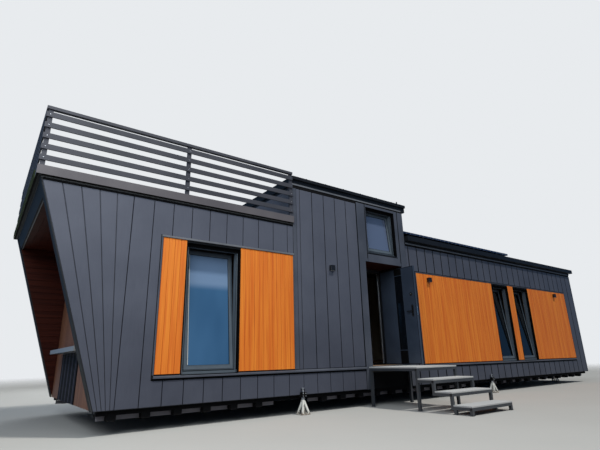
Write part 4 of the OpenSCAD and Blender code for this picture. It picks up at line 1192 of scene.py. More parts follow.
# Black strips of painted shadow: under both bands and around the upper window.
under_band = (CLEAR, 0.004, BAND_FOOT + 0.002, BAND_Z0 - 0.001)
over_door_z = (OVER_DOOR_Z, TOWER_TOP - 0.036)
painted_shadow_rows = [(DOOR_X0 + 0.060, DOOR_X0 + 0.080, CLEAR, 0.0157, *over_door_z),
               (DOOR_X0 + 1.065, DOOR_X0 + 1.081, 0.0153, 0.0158, *over_door_z),
               (DOOR_X0 + 0.081, DOOR_X0 + 0.985, 0.0153, 0.0158, 2.904, 2.924),
               (SURROUND_X - 0.011, SURROUND_X - 0.0015, CLEAR, 0.0155, DRIP_TOP, TOWER_HEAD),
               (*inside(GROUP_A, SURROUND_X, GAP), *under_band),
               (*inside(GROUP_C, GROUP_E, GAP), *under_band)]
bars("band_frames", group_rows, trim_metal, (front,))
bars("band_caps", cap_rows, lit_trim, (front,))
bars("shadow_gaps", painted_shadow_rows, gasket, (front,), 0.0002)

# %% [markdown]
# ## Timber panels
#
# The orange panels are thin cedar boards side by side, about 84 mm apart, with a narrow groove between
# them. One outline goes around a whole panel: along the wall, and then back over each board, which is
# very slightly rounded and falls into the groove at both edges. It is carried upright. A thin black
# strip along their lower ends is painted shadow, the dark line over the drip flashing.

# %% Grooved timber
BOARD = 0.084
GROOVE = 0.004
CHAMFER = 0.0025
CROWN = 0.0008
GROOVE_FLOOR = 0.35


def grooved(width, depth):
    """Outline (s, n) of a panel of boards: n is out of the wall, at most depth."""
    n = max(1, round(width / BOARD))
    step = width / n
    half = GROOVE / 2
    low, shoulder = depth * GROOVE_FLOOR, depth - CROWN - CHAMFER
    edge, near = depth - CROWN, depth - CROWN * 0.2
    shape = np.array([
        [0.0, low], [half, low], [half, shoulder], [half + CHAMFER, edge], [step * 0.3, near],
        [step * 0.5, depth], [step * 0.7, near], [step - half - CHAMFER, edge], [step - half, shoulder],
        [step - half, low]])
    board = shape[None, :, :] + np.arange(n)[:, None, None] * np.array([step, 0])
    return np.concatenate([board.reshape(-1, 2), [[width, low], [width, 0], [0, 0]]])


def between(start, stop, holes, margin):
    """The stretches from start to stop beside holes (x0, x1), clear of each by a margin."""
    ends = [start] + [x for a, b in holes for x in (a - margin, b + margin)] + [stop]
    return list(zip(ends[::2], ends[1::2]))


PANEL_N = FRONT_Y - panel.y0
PANELS = (between(panel.x0, TOWER_X - 0.020, WINDOWS_LEFT, 0.010)
          + between(RIGHT_PANEL_X, panel.x1, WINDOWS_RIGHT, 0.010))
panel_parts = []
for x0, x1 in PANELS:
    outline = grooved(x1 - x0, PANEL_N - 0.0005) + [x0, HAIR]
    panel_parts.append(laid(front, carried(outline, 2, PANEL_Z0, PANEL_Z1)))
mesh_piece("timber_panels", *joined(panel_parts), cedar, stands_for=("wood_panels",))
# A black strip along each panel's foot paints the shadow line over the drip flashing.
foot_shadow_rows = [(*inside(x0, x1, 0.001), PANEL_N - 0.001, PANEL_N + 0.0006, PANEL_Z0 + 0.0002, PANEL_Z0 + 0.009)
             for x0, x1 in PANELS]
bars("panel_foot_shadows", foot_shadow_rows, gasket, (front,), 0.0003)
print("panels stand", round(PANEL_N, 4), "off the wall, from", round(PANEL_Z0, 3), "to", round(PANEL_Z1, 3))

# %% [markdown]
# ## Windows
#
# A window here is more than a frame and a pane. The hole has a folded lining that stands out a
# little past the timber; it is black as painted shade, and two black strips over the frame's head and
# right side paint the shade there. In it sits the fixed frame, then a black gasket, then the sash, which
# is tipped inwards at its head for air, then a glazing bead around the glass. A pale spacer bar parts
# the panes of the tall windows and shows at one side. All of these are bars, so each window is a list of
# rows, made once for the front and once for the back.

# %% Bars of the tall windows
FRAME_W = 0.050
FRAME_DEPTH = 0.040
SASH_TILT = math.radians(5)
SASH_W = 0.055
SASH_T = 0.050
SASH_FOOT = SASH_T * math.sin(SASH_TILT) + 0.0005
SASH_BACK = 0.010
LINING_N = 0.021
LINING_T = 0.004


def sash_face(face, x0, z0, depth):
    """The outer face of the tilted sash in a hole that starts at x0 and z0, with its frame at a depth."""
    tip_in = math.sin(SASH_TILT)
    upright = math.cos(SASH_TILT)
    corner = (face.origin + (x0 + FRAME_W) * face.along + (z0 + FRAME_W + SASH_FOOT) * face.up
              - (depth + SASH_BACK) * face.out)
    return Face(corner, face.along, face.up * upright - face.out * tip_in,
                face.out * upright + face.up * tip_in)


def window_bars(face, x0, x1, z0, z1, depth, lining_n):
    """Parts of one window in its hole: lining and strips of painted shade, gaskets, glazing bead and spacer
    bar.
    """
    a, b = inside(x0, x1, 0.0005)
    foot, head = inside(z0, z1, 0.0005)
    left, right = inside(a, b, LINING_T)
    lining = [(a, left, -depth, lining_n, foot, head),
              (right, b, -depth, lining_n, foot, head),
              (left, right, -depth, lining_n, head - LINING_T, head),
              (left, right, -depth, lining_n + 0.006, foot, foot + LINING_T),
              # black strips over the frame's head and right side: painted shade
              (left, right, HAIR - depth, 0.006 - depth, z1 - 0.056, z1 - 0.005),
              (b - 0.022, right, HAIR - depth, 0.004 - depth, z0 + 0.050, z1 - 0.057)]
    frame_seal = frame_rows(x0, x1, z0, z1, FRAME_W, 0.006, 0.0002 - depth, 0.003 - depth)
    sash = sash_face(face, x0, z0, depth)
    h = z1 - z0 - 2 * FRAME_W - SASH_FOOT - 0.001
    edges = (0, x1 - x0 - 2 * FRAME_W, 0, h)
    bead = frame_rows(*edges, SASH_W + 0.012, 0.0115, -0.014, 0.0)
    seals = frame_rows(*edges, SASH_W + 0.015, 0.003, -0.0148, -0.0005)
    seals += frame_rows(*edges, 0.012, 0.004, 0.0002, 0.0022)
    spacer = [(SASH_W + 0.0125, SASH_W + 0.0235, -0.0146, -0.0006, *inside(0, h, SASH_W + 0.02))]
    gasket_parts = [laid(face, boxes(frame_seal, 0.001)), laid(sash, boxes(seals, 0.0008))]
    return (laid(face, boxes(lining, 0.001)), joined(gasket_parts),
            laid(sash, boxes(bead)), laid(sash, boxes(spacer, 0.0005)))


UPPER_X0 = DOOR_X0 + 0.095
UPPER_X1 = UPPER_X0 + 0.875
openings = [(face, x0, x1, WINDOW_Z0, WINDOW_Z1, FRAME_DEPTH, LINING_N)
            for face in BOTH for x0, x1 in WINDOWS_LEFT + WINDOWS_RIGHT]
openings.append((front, UPPER_X0, UPPER_X1, 2.935, TOWER_TOP - 0.085, 0.060, 0.0165))
shade_linings, gaskets, beads, spacers = zip(*(window_bars(*opening) for opening in openings))
mesh_piece("window_shade_linings", *joined(shade_linings), gasket)
mesh_piece("window_gaskets", *joined(gaskets), gasket)
mesh_piece("glazing_beads", *joined(beads), window_coat)
mesh_piece("glass_spacers", *joined(spacers[:-1]), lens_plastic)

# %% [markdown]
# From inside, each sash has a handle and two hinges. They are small, but they are what a hand goes to,
# and a look through the door finds them.

# %% Window handles and hinges
HANDLE_UP = 1.0


def window_handle(face, x0, x1, z0, z1, depth):
    """A rose, a neck and a lever on the inner side of a tilted sash, and two hinge caps."""
    w = x1 - x0 - 2 * FRAME_W
    h = z1 - z0 - 2 * FRAME_W
    s, t, n = w - SASH_W / 2, min(HANDLE_UP, h / 2), -SASH_T
    rows = [(*about(s, 0.016), n - 0.010, n - 0.0005, *about(t, 0.035)),
            (*about(s, 0.010), n - 0.045, n - 0.010, *about(t, 0.010)),
            (*about(s, 0.011), n - 0.060, n - 0.045, t - 0.125, t + 0.012),
            (0.004, 0.026, n - 0.012, n - 0.0005, 0.05, 0.13),
            (0.004, 0.026, n - 0.012, n - 0.0005, h - 0.17, h - 0.09)]
    return laid(sash_face(face, x0, z0, depth), boxes(rows, 0.004))


handles = [window_handle(*opening[:6]) for opening in openings]
mesh_piece("window_handles", *joined(handles), black_hardware)

# %% [markdown]
# The back windows have a plain trim around them in place of the timber, because sheets that are cut
# around a hole need something to cover their ends.

# %% Window trims
trim_rows = [row for x0, x1 in WINDOWS_LEFT + WINDOWS_RIGHT
             for row in frame_rows(x0, x1, WINDOW_Z0, WINDOW_Z1, -0.001, 0.028, CLEAR, 0.018)]
bars("back_window_trims", trim_rows, trim_metal, (back,))

# %% [markdown]
# ## The entry door
#
# The door stands open at a right angle to the wall. Its leaf is one flush dark blue skin with a black
# stripe as wide as the glass slot, above it and below it, so the slot looks as tall as the leaf. The
# glass is held by a thin bead in the leaf's own colour, on both faces. The stripe is a separate thin
# sheet, because laid-on sheet is how such an inlay is made. These pieces swing, so they ride on the
# door's body.

# %% The leaf's stripe and beads
leaf = Span("door_leaf")
slot = Span("door_glass")
FLOOR_Z = Span("floor_deck").z1
LEAF_X1 = leaf.x0 + 0.055
HINGE_EDGE = leaf.y0 + 0.94
leaf_in = Face((leaf.x0, 0, 0), Y, Z, -X)
leaf_out = Face((LEAF_X1, 0, 0), Y, Z, X)
stripe_y = inside(slot.y0, slot.y1, -0.001)
slot_edges = (slot.y0, slot.y1, slot.z0, slot.z1)
stripe_rows = [(*stripe_y, HAIR, 0.0016, leaf.z0 + 0.004, slot.z0 - 0.016),
               (*stripe_y, HAIR, 0.0016, slot.z1 + 0.016, leaf.z1 - 0.004)]
stripe_rows += frame_rows(*slot_edges, 0.003, 0.003, -0.020, 0.001)
bead_rows = frame_rows(*slot_edges, -0.003, 0.011, HAIR, 0.005)
bars("leaf_stripe", stripe_rows, gasket, (leaf_in, leaf_out), 0.0006, "door")
bars("slot_beads", bead_rows, door_coat, (leaf_in, leaf_out), 0.0015, "door")

# %% [markdown]
# The leaf's edge carries a bright latch plate with three bolts, and a soft black seal runs around the
# inner face and presses on the frame's lip. The lock has a round rose on both faces. Screws hold the
# plates.

# %% Latch plate, bolts, seal and lock roses
LATCH_Z = leaf.z0 + 1.04
ROSE_Z = LATCH_Z + 0.35
lever_y = leaf.y0 + 0.095
plate_y = leaf.y0 - 0.0033
middle_x = (leaf.x0 + LEAF_X1) / 2
bolt_rows = [(*about(middle_x, 0.006), plate_y - 0.0006, plate_y - 0.0004, *about(LATCH_Z + up, half))
             for up, half in ((0.0, 0.016), (0.05, 0.010), (-0.05, 0.010))]
bolt_rows.append((*about(middle_x, 0.010), plate_y - 0.0003, plate_y - 0.0001, *about(LATCH_Z, 0.095)))
plate_screws = spots(middle_x, plate_y - 0.0003, LATCH_Z + np.array([-0.085, 0.085]))
latch_parts = [boxes(bolt_rows, 0.0001), dots(plate_screws, 1, 0.004, -0.0004)]
mesh_piece("latch_bolts", *joined(latch_parts), latch_steel, "door")

seal_rows = frame_rows(leaf.y0, HINGE_EDGE, leaf.z0, leaf.z1, 0.012, 0.008, HAIR, 0.002)
bars("leaf_seal", seal_rows, gasket, (leaf_in,), 0.001, "door")

rose_parts = []
for sign, x in ((-1, leaf.x0 - 0.0223), (1, LEAF_X1 + 0.0223)):
    lever_screws = spots(x - sign * 0.0140, lever_y, LATCH_Z + np.array([-0.092, 0.112]))
    rose_parts.append(dots([(x, lever_y, ROSE_Z)], 0, 0.016, sign * 0.004, 16))
    rose_parts.append(dots(lever_screws, 0, 0.005, sign * 0.0012))
mesh_piece("lock_roses", *joined(rose_parts), latch_steel, "door")

# %% [markdown]
# The frame stays on the house. Each side of it has a pale edge that shows beside the open leaf, and
# the side away from the hinges has a strike plate where the latch goes in. A ribbed metal threshold
# covers the joint between the two floors, because feet would wear the boards there first.

# %% Frame edges, strike plate and threshold
RIB_PITCH = 0.010
RIB = 0.0015
jamb = Span("door_frame")
LIP_Y = jamb.y0 + 0.063
LIP_LEFT = DOOR_X0 + 0.137
LIP_RIGHT = leaf.x0 + 0.043
jamb_rows = [(x0, x1, LIP_Y + 0.001, jamb.y1 - 0.001, FLOOR_Z + 0.031, leaf.z1 - 0.013)
             for x0, x1 in ((LIP_RIGHT - 0.034, LIP_RIGHT - 0.0005), (LIP_LEFT + 0.0005, LIP_LEFT + 0.0100))]
strike_rows = [(LIP_LEFT - 0.0218, LIP_LEFT - 0.0215, LIP_Y - 0.045, LIP_Y - 0.012, *about(LATCH_Z, 0.10))]
bars("jamb_edges", jamb_rows, pale_aluminium)
bars("strike_plate", strike_rows, latch_steel, cut=0.0001)


def ribbed(width, height):
    """Outline (s, h) of a low strip with even ribs on top."""
    n = int(width / RIB_PITCH)
    first = (width - n * RIB_PITCH) / 2
    s = first + np.arange(n)[:, None] * RIB_PITCH + np.array([0.0, 0.3, 0.5, 0.8]) * RIB_PITCH
    h = np.tile([height - RIB, height, height, height - RIB], n)
    return np.concatenate([[[0, 0], [0, height - RIB]], np.column_stack([s.ravel(), h]),
                           [[width, height - RIB], [width, 0]]])


threshold = ribbed(0.090, 0.005) + [FRONT_Y - 0.013, FLOOR_Z + HAIR]
mesh_piece("threshold_strip", *carried(threshold, 0, *inside(DOOR_X0, DOOR_X1, 0.003)), pale_aluminium)
print("door pieces ride on the leaf, frame pieces on the house")

# %% [markdown]
# ## The leaning end
#
# Under the leaning top is a small sheltered place with a counter. Its back wall is upright cedar, and
# the two wings that lean out and the soffit above are dark brown boards. All of them are boards that
# a carpenter would nail on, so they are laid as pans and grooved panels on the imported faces. They stop
# clear of the counter.

# %% Boards under the leaning top
counter = Span("counter_top")
flutes = Span("counter_front")
FASCIA_Z0 = Span("end_frame").z1 - 0.205
SOFFIT_Z = 3.050
WING_Y0, WING_Y1 = inside(FRONT_Y, BACK_Y, WALL_T + 0.015)
WING_PITCH = 0.118
SOFFIT_PITCH = 0.11
board_y0, board_y1 = inside(WING_Y0, WING_Y1, 0.001)
under_counter = (SKIRT_Z + 0.002, counter.z0 - 0.002)
wall_patches = [(board_y0, board_y1, counter.z1 + 0.002, SOFFIT_Z - 0.002),
                (board_y0, flutes.y0 - 0.002, *under_counter), (flutes.y1 + 0.002, board_y1, *under_counter)]
end_face = Face((end_wall.x0, 0, 0), Y, Z, -X)
end_parts = [laid(end_face, carried(grooved(y1 - y0, 0.012) + [y0, HAIR], 2, z0, z1))
             for y0, y1, z0, z1 in wall_patches]
# The end wall boards take the darker cedar: painted shade.
mesh_piece("end_wall_boards", *joined(end_parts), shaded_end_cedar)


def wing_quads():
    """Level boards between the leaning edge and the end wall, each cut along the lean."""
    z = np.linspace(SKIRT_Z + 0.042, FASCIA_Z0 - 0.002, round((FASCIA_Z0 - SKIRT_Z) / WING_PITCH) + 1)
    z0, z1 = inside(z[:-1], z[1:], 0.002)
    left0, left1 = lean_at(z0) + 0.012, lean_at(z1) + 0.012
    right = np.full(len(z0), end_wall.x0 - 0.0135)
    return np.stack([np.column_stack(p) for p in ((left0, z0), (right, z0), (right, z1), (left1, z1))], 1)


wings = (Face((0, WING_Y0, 0), X, Z, Y), Face((0, WING_Y1, 0), X, Z, -Y))
soffit = Face((0, 0, SOFFIT_Z), X, Y, -Z)
soffit_x = even_edges(lean_at(FASCIA_Z0) + 0.034, end_wall.x0 - 0.001, SOFFIT_PITCH)
soffit_quads = strips(soffit_x, *inside(WING_Y0, WING_Y1, 0.008), 0.004)
wing_parts = [boards(face, wing_quads(), 0.007) for face in wings] + [boards(soffit, soffit_quads, 0.007)]
mesh_piece("wing_boards", *joined(wing_parts), umber_along)

# %% [markdown]
# The deep board over the opening is a darker copy of the trim, painted shade, and ends in a thin pale
# drip edge of lit trim: a painted highlight that shows as a bright line against the brown soffit. Two
# small steel angles carry the counter where the fluted front stops short of it, since a counter this
# long has to be held at both ends.

# %% Drip edge and counter brackets
drip_x = lean_at(FASCIA_Z0)
drip_rows = [(drip_x + 0.020, drip_x + 0.034, board_y0, board_y1, FASCIA_Z0 - 0.0065, FASCIA_Z0 - 0.0005)]
bracket_rows = []
for y in (counter.y0 + 0.12, flutes.y0 - 0.12):
    head = counter.z0 - 0.0005
    bracket_rows += [(end_wall.x0 - 0.018, end_wall.x0 - 0.0125, *about(y, 0.015), counter.z0 - 0.15, head),
                     (end_wall.x0 - 0.160, end_wall.x0 - 0.0185, *about(y, 0.015), counter.z0 - 0.006, head)]
bars("end_drip_edge", drip_rows, lit_trim, cut=0.0015)
bars("counter_brackets", bracket_rows, zinc, cut=0.001)

# %% [markdown]
# The entry recess is lined in the same dark boards: upright ones on its two sides, and level ones on
# its soffit. They are the first thing beside the doorway, in deep shade, and their brown is painted
# darker still than the wings', as painted shade.

# %% Boards in the entry recess
RECESS_Y1 = jamb.y0 - 0.036
RECESS_PITCH = 0.1
DOOR_HEAD = 2.740
recess_sides = (Face((DOOR_X0, 0, 0), Y, Z, X), Face((DOOR_X1, 0, 0), Y, Z, -X))
recess_soffit = Face((0, 0, DOOR_HEAD), Y, X, -Z)
side_y = even_edges(FRONT_Y + WALL_T + 0.003, RECESS_Y1, RECESS_PITCH)
side_quads = strips(side_y, *inside(FLOOR_Z, DOOR_HEAD, 0.008), 0.004)
ceiling_y = even_edges(FRONT_Y + 0.002, RECESS_Y1, RECESS_PITCH)
ceiling_quads = strips(ceiling_y, *inside(DOOR_X0, DOOR_X1, 0.008), 0.004)
recess_parts = [boards(face, side_quads, 0.005) for face in recess_sides]
recess_parts.append(boards(recess_soffit, ceiling_quads, 0.005))
mesh_piece("recess_boards", *joined(recess_parts), umber_up)

# %% [markdown]
# ## Roof terrace
#
# The terrace is walked on, so its membrane carries narrow grey deck boards laid side by side, with
# open joints for the rain. Each board is a pan again: flat, with rounded edges, 8 mm high. A row has
# two boards, and their joint steps to and fro from row to row.

# %% Deck boards
DECK_PITCH = 0.142
JOINT_STEP = 0.45


def corners(x0, x1, y0, y1):
    """The corners of a rectangle in the order that pans take them."""
    return [(x0, y0), (x1, y0), (x1, y1), (x0, y1)]


deck_face = Face((0, 0, deck.z1), X, Y, Z)
deck_edges = even_edges(*inside(deck.y0, deck.y1, 0.004), DECK_PITCH)
deck_x0, deck_x1 = inside(deck.x0, deck.x1, 0.004)
deck_quads = []
for row, (y0, y1) in enumerate(zip(deck_edges[:-1], deck_edges[1:])):
    joint = (deck_x0 + deck_x1) / 2 + (JOINT_STEP if row % 2 else -JOINT_STEP)
    for x0, x1 in ((deck_x0, joint - 0.002), (joint + 0.002, deck_x1)):
        deck_quads.append(corners(x0, x1, *inside(y0, y1, 0.003)))
mesh_piece("deck_boards", *boards(deck_face, deck_quads, 0.008, across=4), deck_membrane)

# %% [markdown]
# Artificial turf hangs over the outer edge of the end kerb as a ragged green fringe. It is made of
# single blades, each a narrow bent strip of five points, with its root on a backing sheet and its tip
# thrown outwards and up. Root, length, lean and turn come from one random generator with a fixed seed,
# so every run grows the same turf. The fringe takes the place of the plain strip.

# %% Turf
BLADES = 16000
TURF_SEED = 4
turf = Span("turf_fringe")


def turf_blades(count):
    """Bent blades of 5 points whose roots lie on a plane just inside the strip's inner face."""
    random = np.random.default_rng(TURF_SEED)
    root = np.column_stack([np.full(count, turf.x1 - 0.006), random.uniform(turf.y0, turf.y1, count),
                            turf.z0 + (turf.z1 - turf.z0) * random.beta(1.1, 0.9, count)])
    length = random.uniform(0.014, 0.034, count)
    reach = random.uniform(0.005, 0.018, count)
    sway = random.normal(0, 0.35, count) * length
    width = random.uniform(0.0009, 0.0019, count)
    turn = random.uniform(0, np.pi, count)
    across = np.column_stack([np.cos(turn) * 0.3, np.sin(turn), np.zeros(count)]) * width[:, None]
    middle = root + np.column_stack([-0.7 * reach, 0.4 * sway, 0.6 * length])
    tip = root + np.column_stack([-reach, sway, length * random.uniform(0.55, 1.0, count)])
    tip[:, 2] = np.minimum(tip[:, 2], turf.z1 + 0.02)
    tip[:, 1] = np.clip(tip[:, 1], turf.y0, turf.y1 - 0.001)
    middle[:, 1] = np.clip(middle[:, 1], turf.y0, turf.y1 - 0.001)
    points = np.stack([root - across, root + across, middle + 0.8 * across, middle - 0.8 * across, tip], 1)
    points[..., 1] = np.clip(points[..., 1], turf.y0 - 0.001, turf.y1)
    first = (np.arange(count) * 5)[:, None]
    return points.reshape(-1, 3), [np.array([[0, 1, 2, 3]]) + first, np.array([[3, 2, 4]]) + first]


backing = boxes([(turf.x1 - 0.008, turf.x1 - 0.0005, turf.y0, turf.y1, *inside(turf.z0, turf.z1, 0.004))])
mesh_piece("turf_blades", *joined([backing, turf_blades(BLADES)]), turf_green, stands_for=("turf_fringe",))

# %% [markdown]
# Under the kerbs lies a thin black strip of painted shade: from below it makes the dark line of shadow
# that parts the kerb from the cladding. Where the end kerb overhangs the leaning edge, a dark board
# paints the shade on its underside.

# %% Strips under the kerbs
kerb_y0, kerb_y1 = inside(kerb.y0, kerb.y1, 0.001)
under_z = (kerb.z0 - 0.003, kerb.z0 - 0.0002)
under_x = kerb.x0 + 0.4 * (LEAN_X - kerb.x0)
# painted shade: black strips under the kerbs, and a darker board under the end kerb's overhang
kerb_shadow_rows = [(kerb.x0 + 0.001, under_x, kerb_y0, kerb_y1, *under_z),
              (LEAN_X - 0.001, TOWER_X - 0.002, kerb_y0, FRONT_Y - 0.0005, *under_z),
              (LEAN_X - 0.001, TOWER_X - 0.002, BACK_Y + 0.0005, kerb_y1, *under_z)]
bars("kerb_shadow_strips", kerb_shadow_rows, black_paint_and_shade, cut=0.0005)
bars("kerb_shade_board", [(under_x + 0.0005, LEAN_X - 0.002, kerb_y0, kerb_y1, *under_z)], shaded_fascia, cut=0.0005)
print("kerb overhangs the end by", round(LEAN_X - kerb.x0, 3))

# %% [markdown]
# The railings are flat bars on posts. Where a bar meets a post a screw goes in from the outside. These
# small round heads give the plain bars their scale.

# %% Railing screws
SLATS = 5
SLAT_FOOT = 0.072
SLAT_PITCH = 0.160
SLAT_HALF = 0.0375
POST_HALF = 0.030
POST_IN = 0.0205
rails = Span("side_railings")
first_post = rails.x0 + POST_IN
last_post = rails.x1 - 2 * POST_HALF
post_x = np.array([first_post, (first_post + last_post) / 2, last_post]) + POST_HALF
slat_z = (kerb.z1 + SLAT_FOOT + SLAT_PITCH * np.arange(SLATS) + SLAT_HALF)[:, None]
end_third = (rails.y1 - rails.y0 - 2 * POST_IN) / 3
end_y = rails.y0 + POST_IN + np.array([end_third + POST_HALF, 2 * end_third - POST_HALF])
screws = [dots(spots(post_x, rails.y0 - 0.0001, slat_z), 1, 0.007, -0.002),
          dots(spots(post_x, rails.y1 + 0.0001, slat_z), 1, 0.007, 0.002),
          dots(spots(Span("end_railing").x0 - 0.0001, end_y, slat_z), 0, 0.007, -0.002)]
mesh_piece("railing_screws", *joined(screws), zinc)

# %% [markdown]
# ## Roofs, gutter and solar panels
#
# The flat roofs are long sheets joined by standing seams, small upright folds that keep the rain out.
# They run from back to front between the feet of the solar panels. The tower's roof also has a small
# dark hook at its front edge, as in the photo.

# %% Roof seams
ROOF_PITCH = 0.48
tower_cap = Span("tower_roof")


def standing_seams(span, first, last, rise):
    """Rows of seams that run from back to front over a roof, from first to last along it."""
    return [(*about(x, 0.006), *inside(span.y0, span.y1, 0.02), span.z1 + HAIR, span.z1 + rise)
            for x in np.arange(first, last, ROOF_PITCH)]


hook = (tower_cap.x1 - 0.285, tower_cap.x1 - 0.250)
roof_rows = standing_seams(roof, RIGHT_X + 0.37, END_X, 0.026)
roof_rows += standing_seams(tower_cap, tower_cap.x0 + 0.35, tower_cap.x1 - 0.2, 0.020)
roof_rows += [(*hook, tower_cap.y0 + 0.006, tower_cap.y0 + 0.014, tower_cap.z1 + HAIR, tower_cap.z1 + 0.045),
              (*hook, tower_cap.y0 + 0.0145, tower_cap.y0 + 0.045, tower_cap.z1 + HAIR, tower_cap.z1 + 0.006)]
bars("roof_seams", roof_rows, roof_coat)

# %% [markdown]
# The gutter hangs at the front edge of the right roof. Straps cross it and hold its two sides apart,
# and its front edge is rolled over to a bead, which stiffens thin metal.

# %% Gutter straps and bead
STRAP_PITCH = 0.85
strap_x = even_edges(*inside(gutter.x0, gutter.x1, 0.2), STRAP_PITCH)
strap_rows = [(*about(x, 0.012), *inside(gutter.y0, gutter.y1, 0.0045), gutter.z1 - 0.006, gutter.z1 - 0.003)
              for x in strap_x]
strap_rows.append((*inside(gutter.x0, gutter.x1, 0.005), gutter.y0 + 0.0045, gutter.y0 + 0.012,
                   gutter.z1 - 0.0155, gutter.z1 - 0.0065))
bars("gutter_straps", strap_rows, roof_coat, cut=0.001)

# %% [markdown]
# Two rows of four solar panels lie level over the right roof. Each has a dark frame around its cells,
# and small black clamps hold neighbouring frames down on their rails.

# %% Solar panel frames
SOLAR_W = 1.1
SOLAR_L = 1.65
SOLAR_PITCH = 1.12
RIM = 0.012
solar = Span("solar_panels")
solar_face = Face((0, 0, solar.z1), X, Y, Z)
row_y = [(solar.y0, solar.y0 + SOLAR_L), (solar.y1 - SOLAR_L, solar.y1)]
column_x = [(solar.x0 + SOLAR_PITCH * i, solar.x0 + SOLAR_PITCH * i + SOLAR_W) for i in range(4)]
rim_rows = [row for x0, x1 in column_x for y0, y1 in row_y
            for row in frame_rows(x0, x1, y0, y1, RIM, RIM, HAIR, 0.003)]
clamp_rows = [(x1 - 0.010, x1 + 0.030, 0.0032, 0.0062, *about(y, 0.02))
              for x0, x1 in column_x[:3] for y0, y1 in row_y for y in (y0 + 0.35, y1 - 0.31)]
bars("solar_frames", rim_rows, roof_coat, (solar_face,), 0.001)
bars("solar_clamps", clamp_rows, black_hardware, (solar_face,), 0.001)

# %% [markdown]
# ## Wall lights
#
# Three small box lights hang on the front. Each has a thin visor edge around its face, and a pale lens
# above and below that throws light along the wall.

# %% Lenses and visors
LENS_HALF = 0.034
LIGHT_HALF = 0.044
lights_box = Span("wall_lights")
lights = [(lights_box.x0 + 0.05, lights_box.z0 + 0.05, 0.0, 0.060),
          (RIGHT_X + 0.700, lights_box.z0 + 0.06, 0.018, 0.078),
          (RIGHT_X + 6.700, lights_box.z0 + 0.08, 0.018, 0.078)]
lens_rows = [(*about(x, LENS_HALF), *inside(n0, n1, 0.010), z + side * 0.0502, z + side * 0.0522)
             for x, z, n0, n1 in lights for side in (-1, 1)]
visor_rows = [row for x, z, n0, n1 in lights
              for row in frame_rows(x, x, z, z, -LIGHT_HALF, 0.007, n1 - 0.0004, n1 + 0.0035)]
bars("light_lenses", lens_rows, lens_plastic, (front,), 0.001)
bars("light_visors", visor_rows, black_hardware, (front,), 0.0015)

# %% [markdown]
# ## Jack stands and chassis
#
# The house is levelled on screw jacks. A thread is a ridge that climbs around the screw: a small
# three-cornered profile stands on the screw's radius, and is carried along a helix with a fixed rise
# for each turn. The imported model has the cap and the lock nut, and bolts on each bracket finish it.

# %% Threads of the jack screws
SCREW_R = 0.016
THREAD_OUT = 0.0022
THREAD_PITCH = 0.007
TURN_STEPS = 14
RAIL_IN = 0.9


def thread(x, y, z0, z1):
    """A ridge along a helix about the upright axis at x and y, from z0 to z1."""
    n = int((z1 - z0) / THREAD_PITCH * TURN_STEPS)
    turn = np.arange(n + 1) * 2 * np.pi / TURN_STEPS
    z = z0 + np.linspace(0, 1, n + 1) * (z1 - z0 - THREAD_PITCH)
    profile = [(SCREW_R - 0.001, 0.0), (SCREW_R + THREAD_OUT, 0.5 * THREAD_PITCH),
               (SCREW_R - 0.001, 0.95 * THREAD_PITCH)]
    points = np.stack([np.column_stack([x + r * np.cos(turn), y + r * np.sin(turn), z + up])
                       for r, up in profile], 1)
    i = 3 * np.arange(n)
    quads = np.concatenate([np.column_stack([i + k, i + 3 + k, i + 3 + (k + 1) % 3, i + (k + 1) % 3])
                            for k in range(3)])
    return points.reshape(-1, 3), [quads, np.array([[0, 1, 2], [3 * n + 2, 3 * n + 1, 3 * n]])]


jack = Span("jack_screws")
BRACKET_Z0, BRACKET_Z1 = SKIRT_Z - 0.033, SKIRT_Z + 0.045
jack_y = (jack.y0 + 0.028, BACK_Y + FRONT_Y - (jack.y0 + 0.028))
rail_y = inside(FRONT_Y, BACK_Y, RAIL_IN)
outer_x = np.array([TOWER_X + 0.120, RIGHT_X + 2.670])
outer_places = [(x, y) for x in outer_x for y in jack_y]
inner_places = [(END_X - 0.260, y) for y in rail_y]
threads = [thread(x, y, BRACKET_Z1 + 0.001, jack.z1 - 0.0155) for x, y in outer_places]
threads += [thread(x, y, Span("jack_stands").z1 + 0.001, SKIRT_Z - 0.016) for x, y in inner_places]
mesh_piece("jack_threads", *joined(threads), zinc, smooth=True)

bolt_x = (outer_x[:, None] + np.array([-0.026, 0.026]))[..., None]
bolt_z = BRACKET_Z0 + np.array([0.020, 0.058])
bolts = [dots(spots(bolt_x, y + side * 0.045, bolt_z), 1, 0.009, side * 0.006, 6)
         for side, y in zip((-1, 1), jack_y)]
mesh_piece("bracket_bolts", *joined(bolts), zinc)

# %% [markdown]
# Weld beads join the four legs of each jack to their foot plates, and the cross members are bolted to
# the rails with pairs of bolts. Both are seen only from low down, but a chassis without a single
# fastening looks like a drawing.

# %% Weld beads and chassis bolts
LEG_SIDE = 0.0505
MEMBER_PITCH = 0.6
drops = [(LEG_SIDE, along) for along in np.linspace(0.056, 0.076, 5)]
drops += [(along, side) for side, along in drops]
beads = [(x + a * u, y + b * v, 0.0141) for x, y in outer_places + inner_places
         for a in (-1, 1) for b in (-1, 1) for u, v in drops]
mesh_piece("weld_beads", *dots(beads, 2, 0.0042, 0.003, 7), jack_enamel, smooth=True)

chassis = Span("chassis_rails")
member_x = even_edges(*inside(chassis.x0, chassis.x1, 0.06), MEMBER_PITCH)
rail_bolts = [(x + dx, y + dy, chassis.z0 + 0.0102) for x in member_x for dx in (-0.02, 0.02)
              for y in rail_y for dy in (-0.034, 0.034)]
mesh_piece("rail_bolts", *dots(rail_bolts, 2, 0.008, 0.006, 6), zinc)

# %% [markdown]
# Behind the hanger blocks runs a flat bar. Its grey, lighter than the black chassis, is painted light:
# it makes the dim lit strip that shows between the blocks. It stops short of each jack.

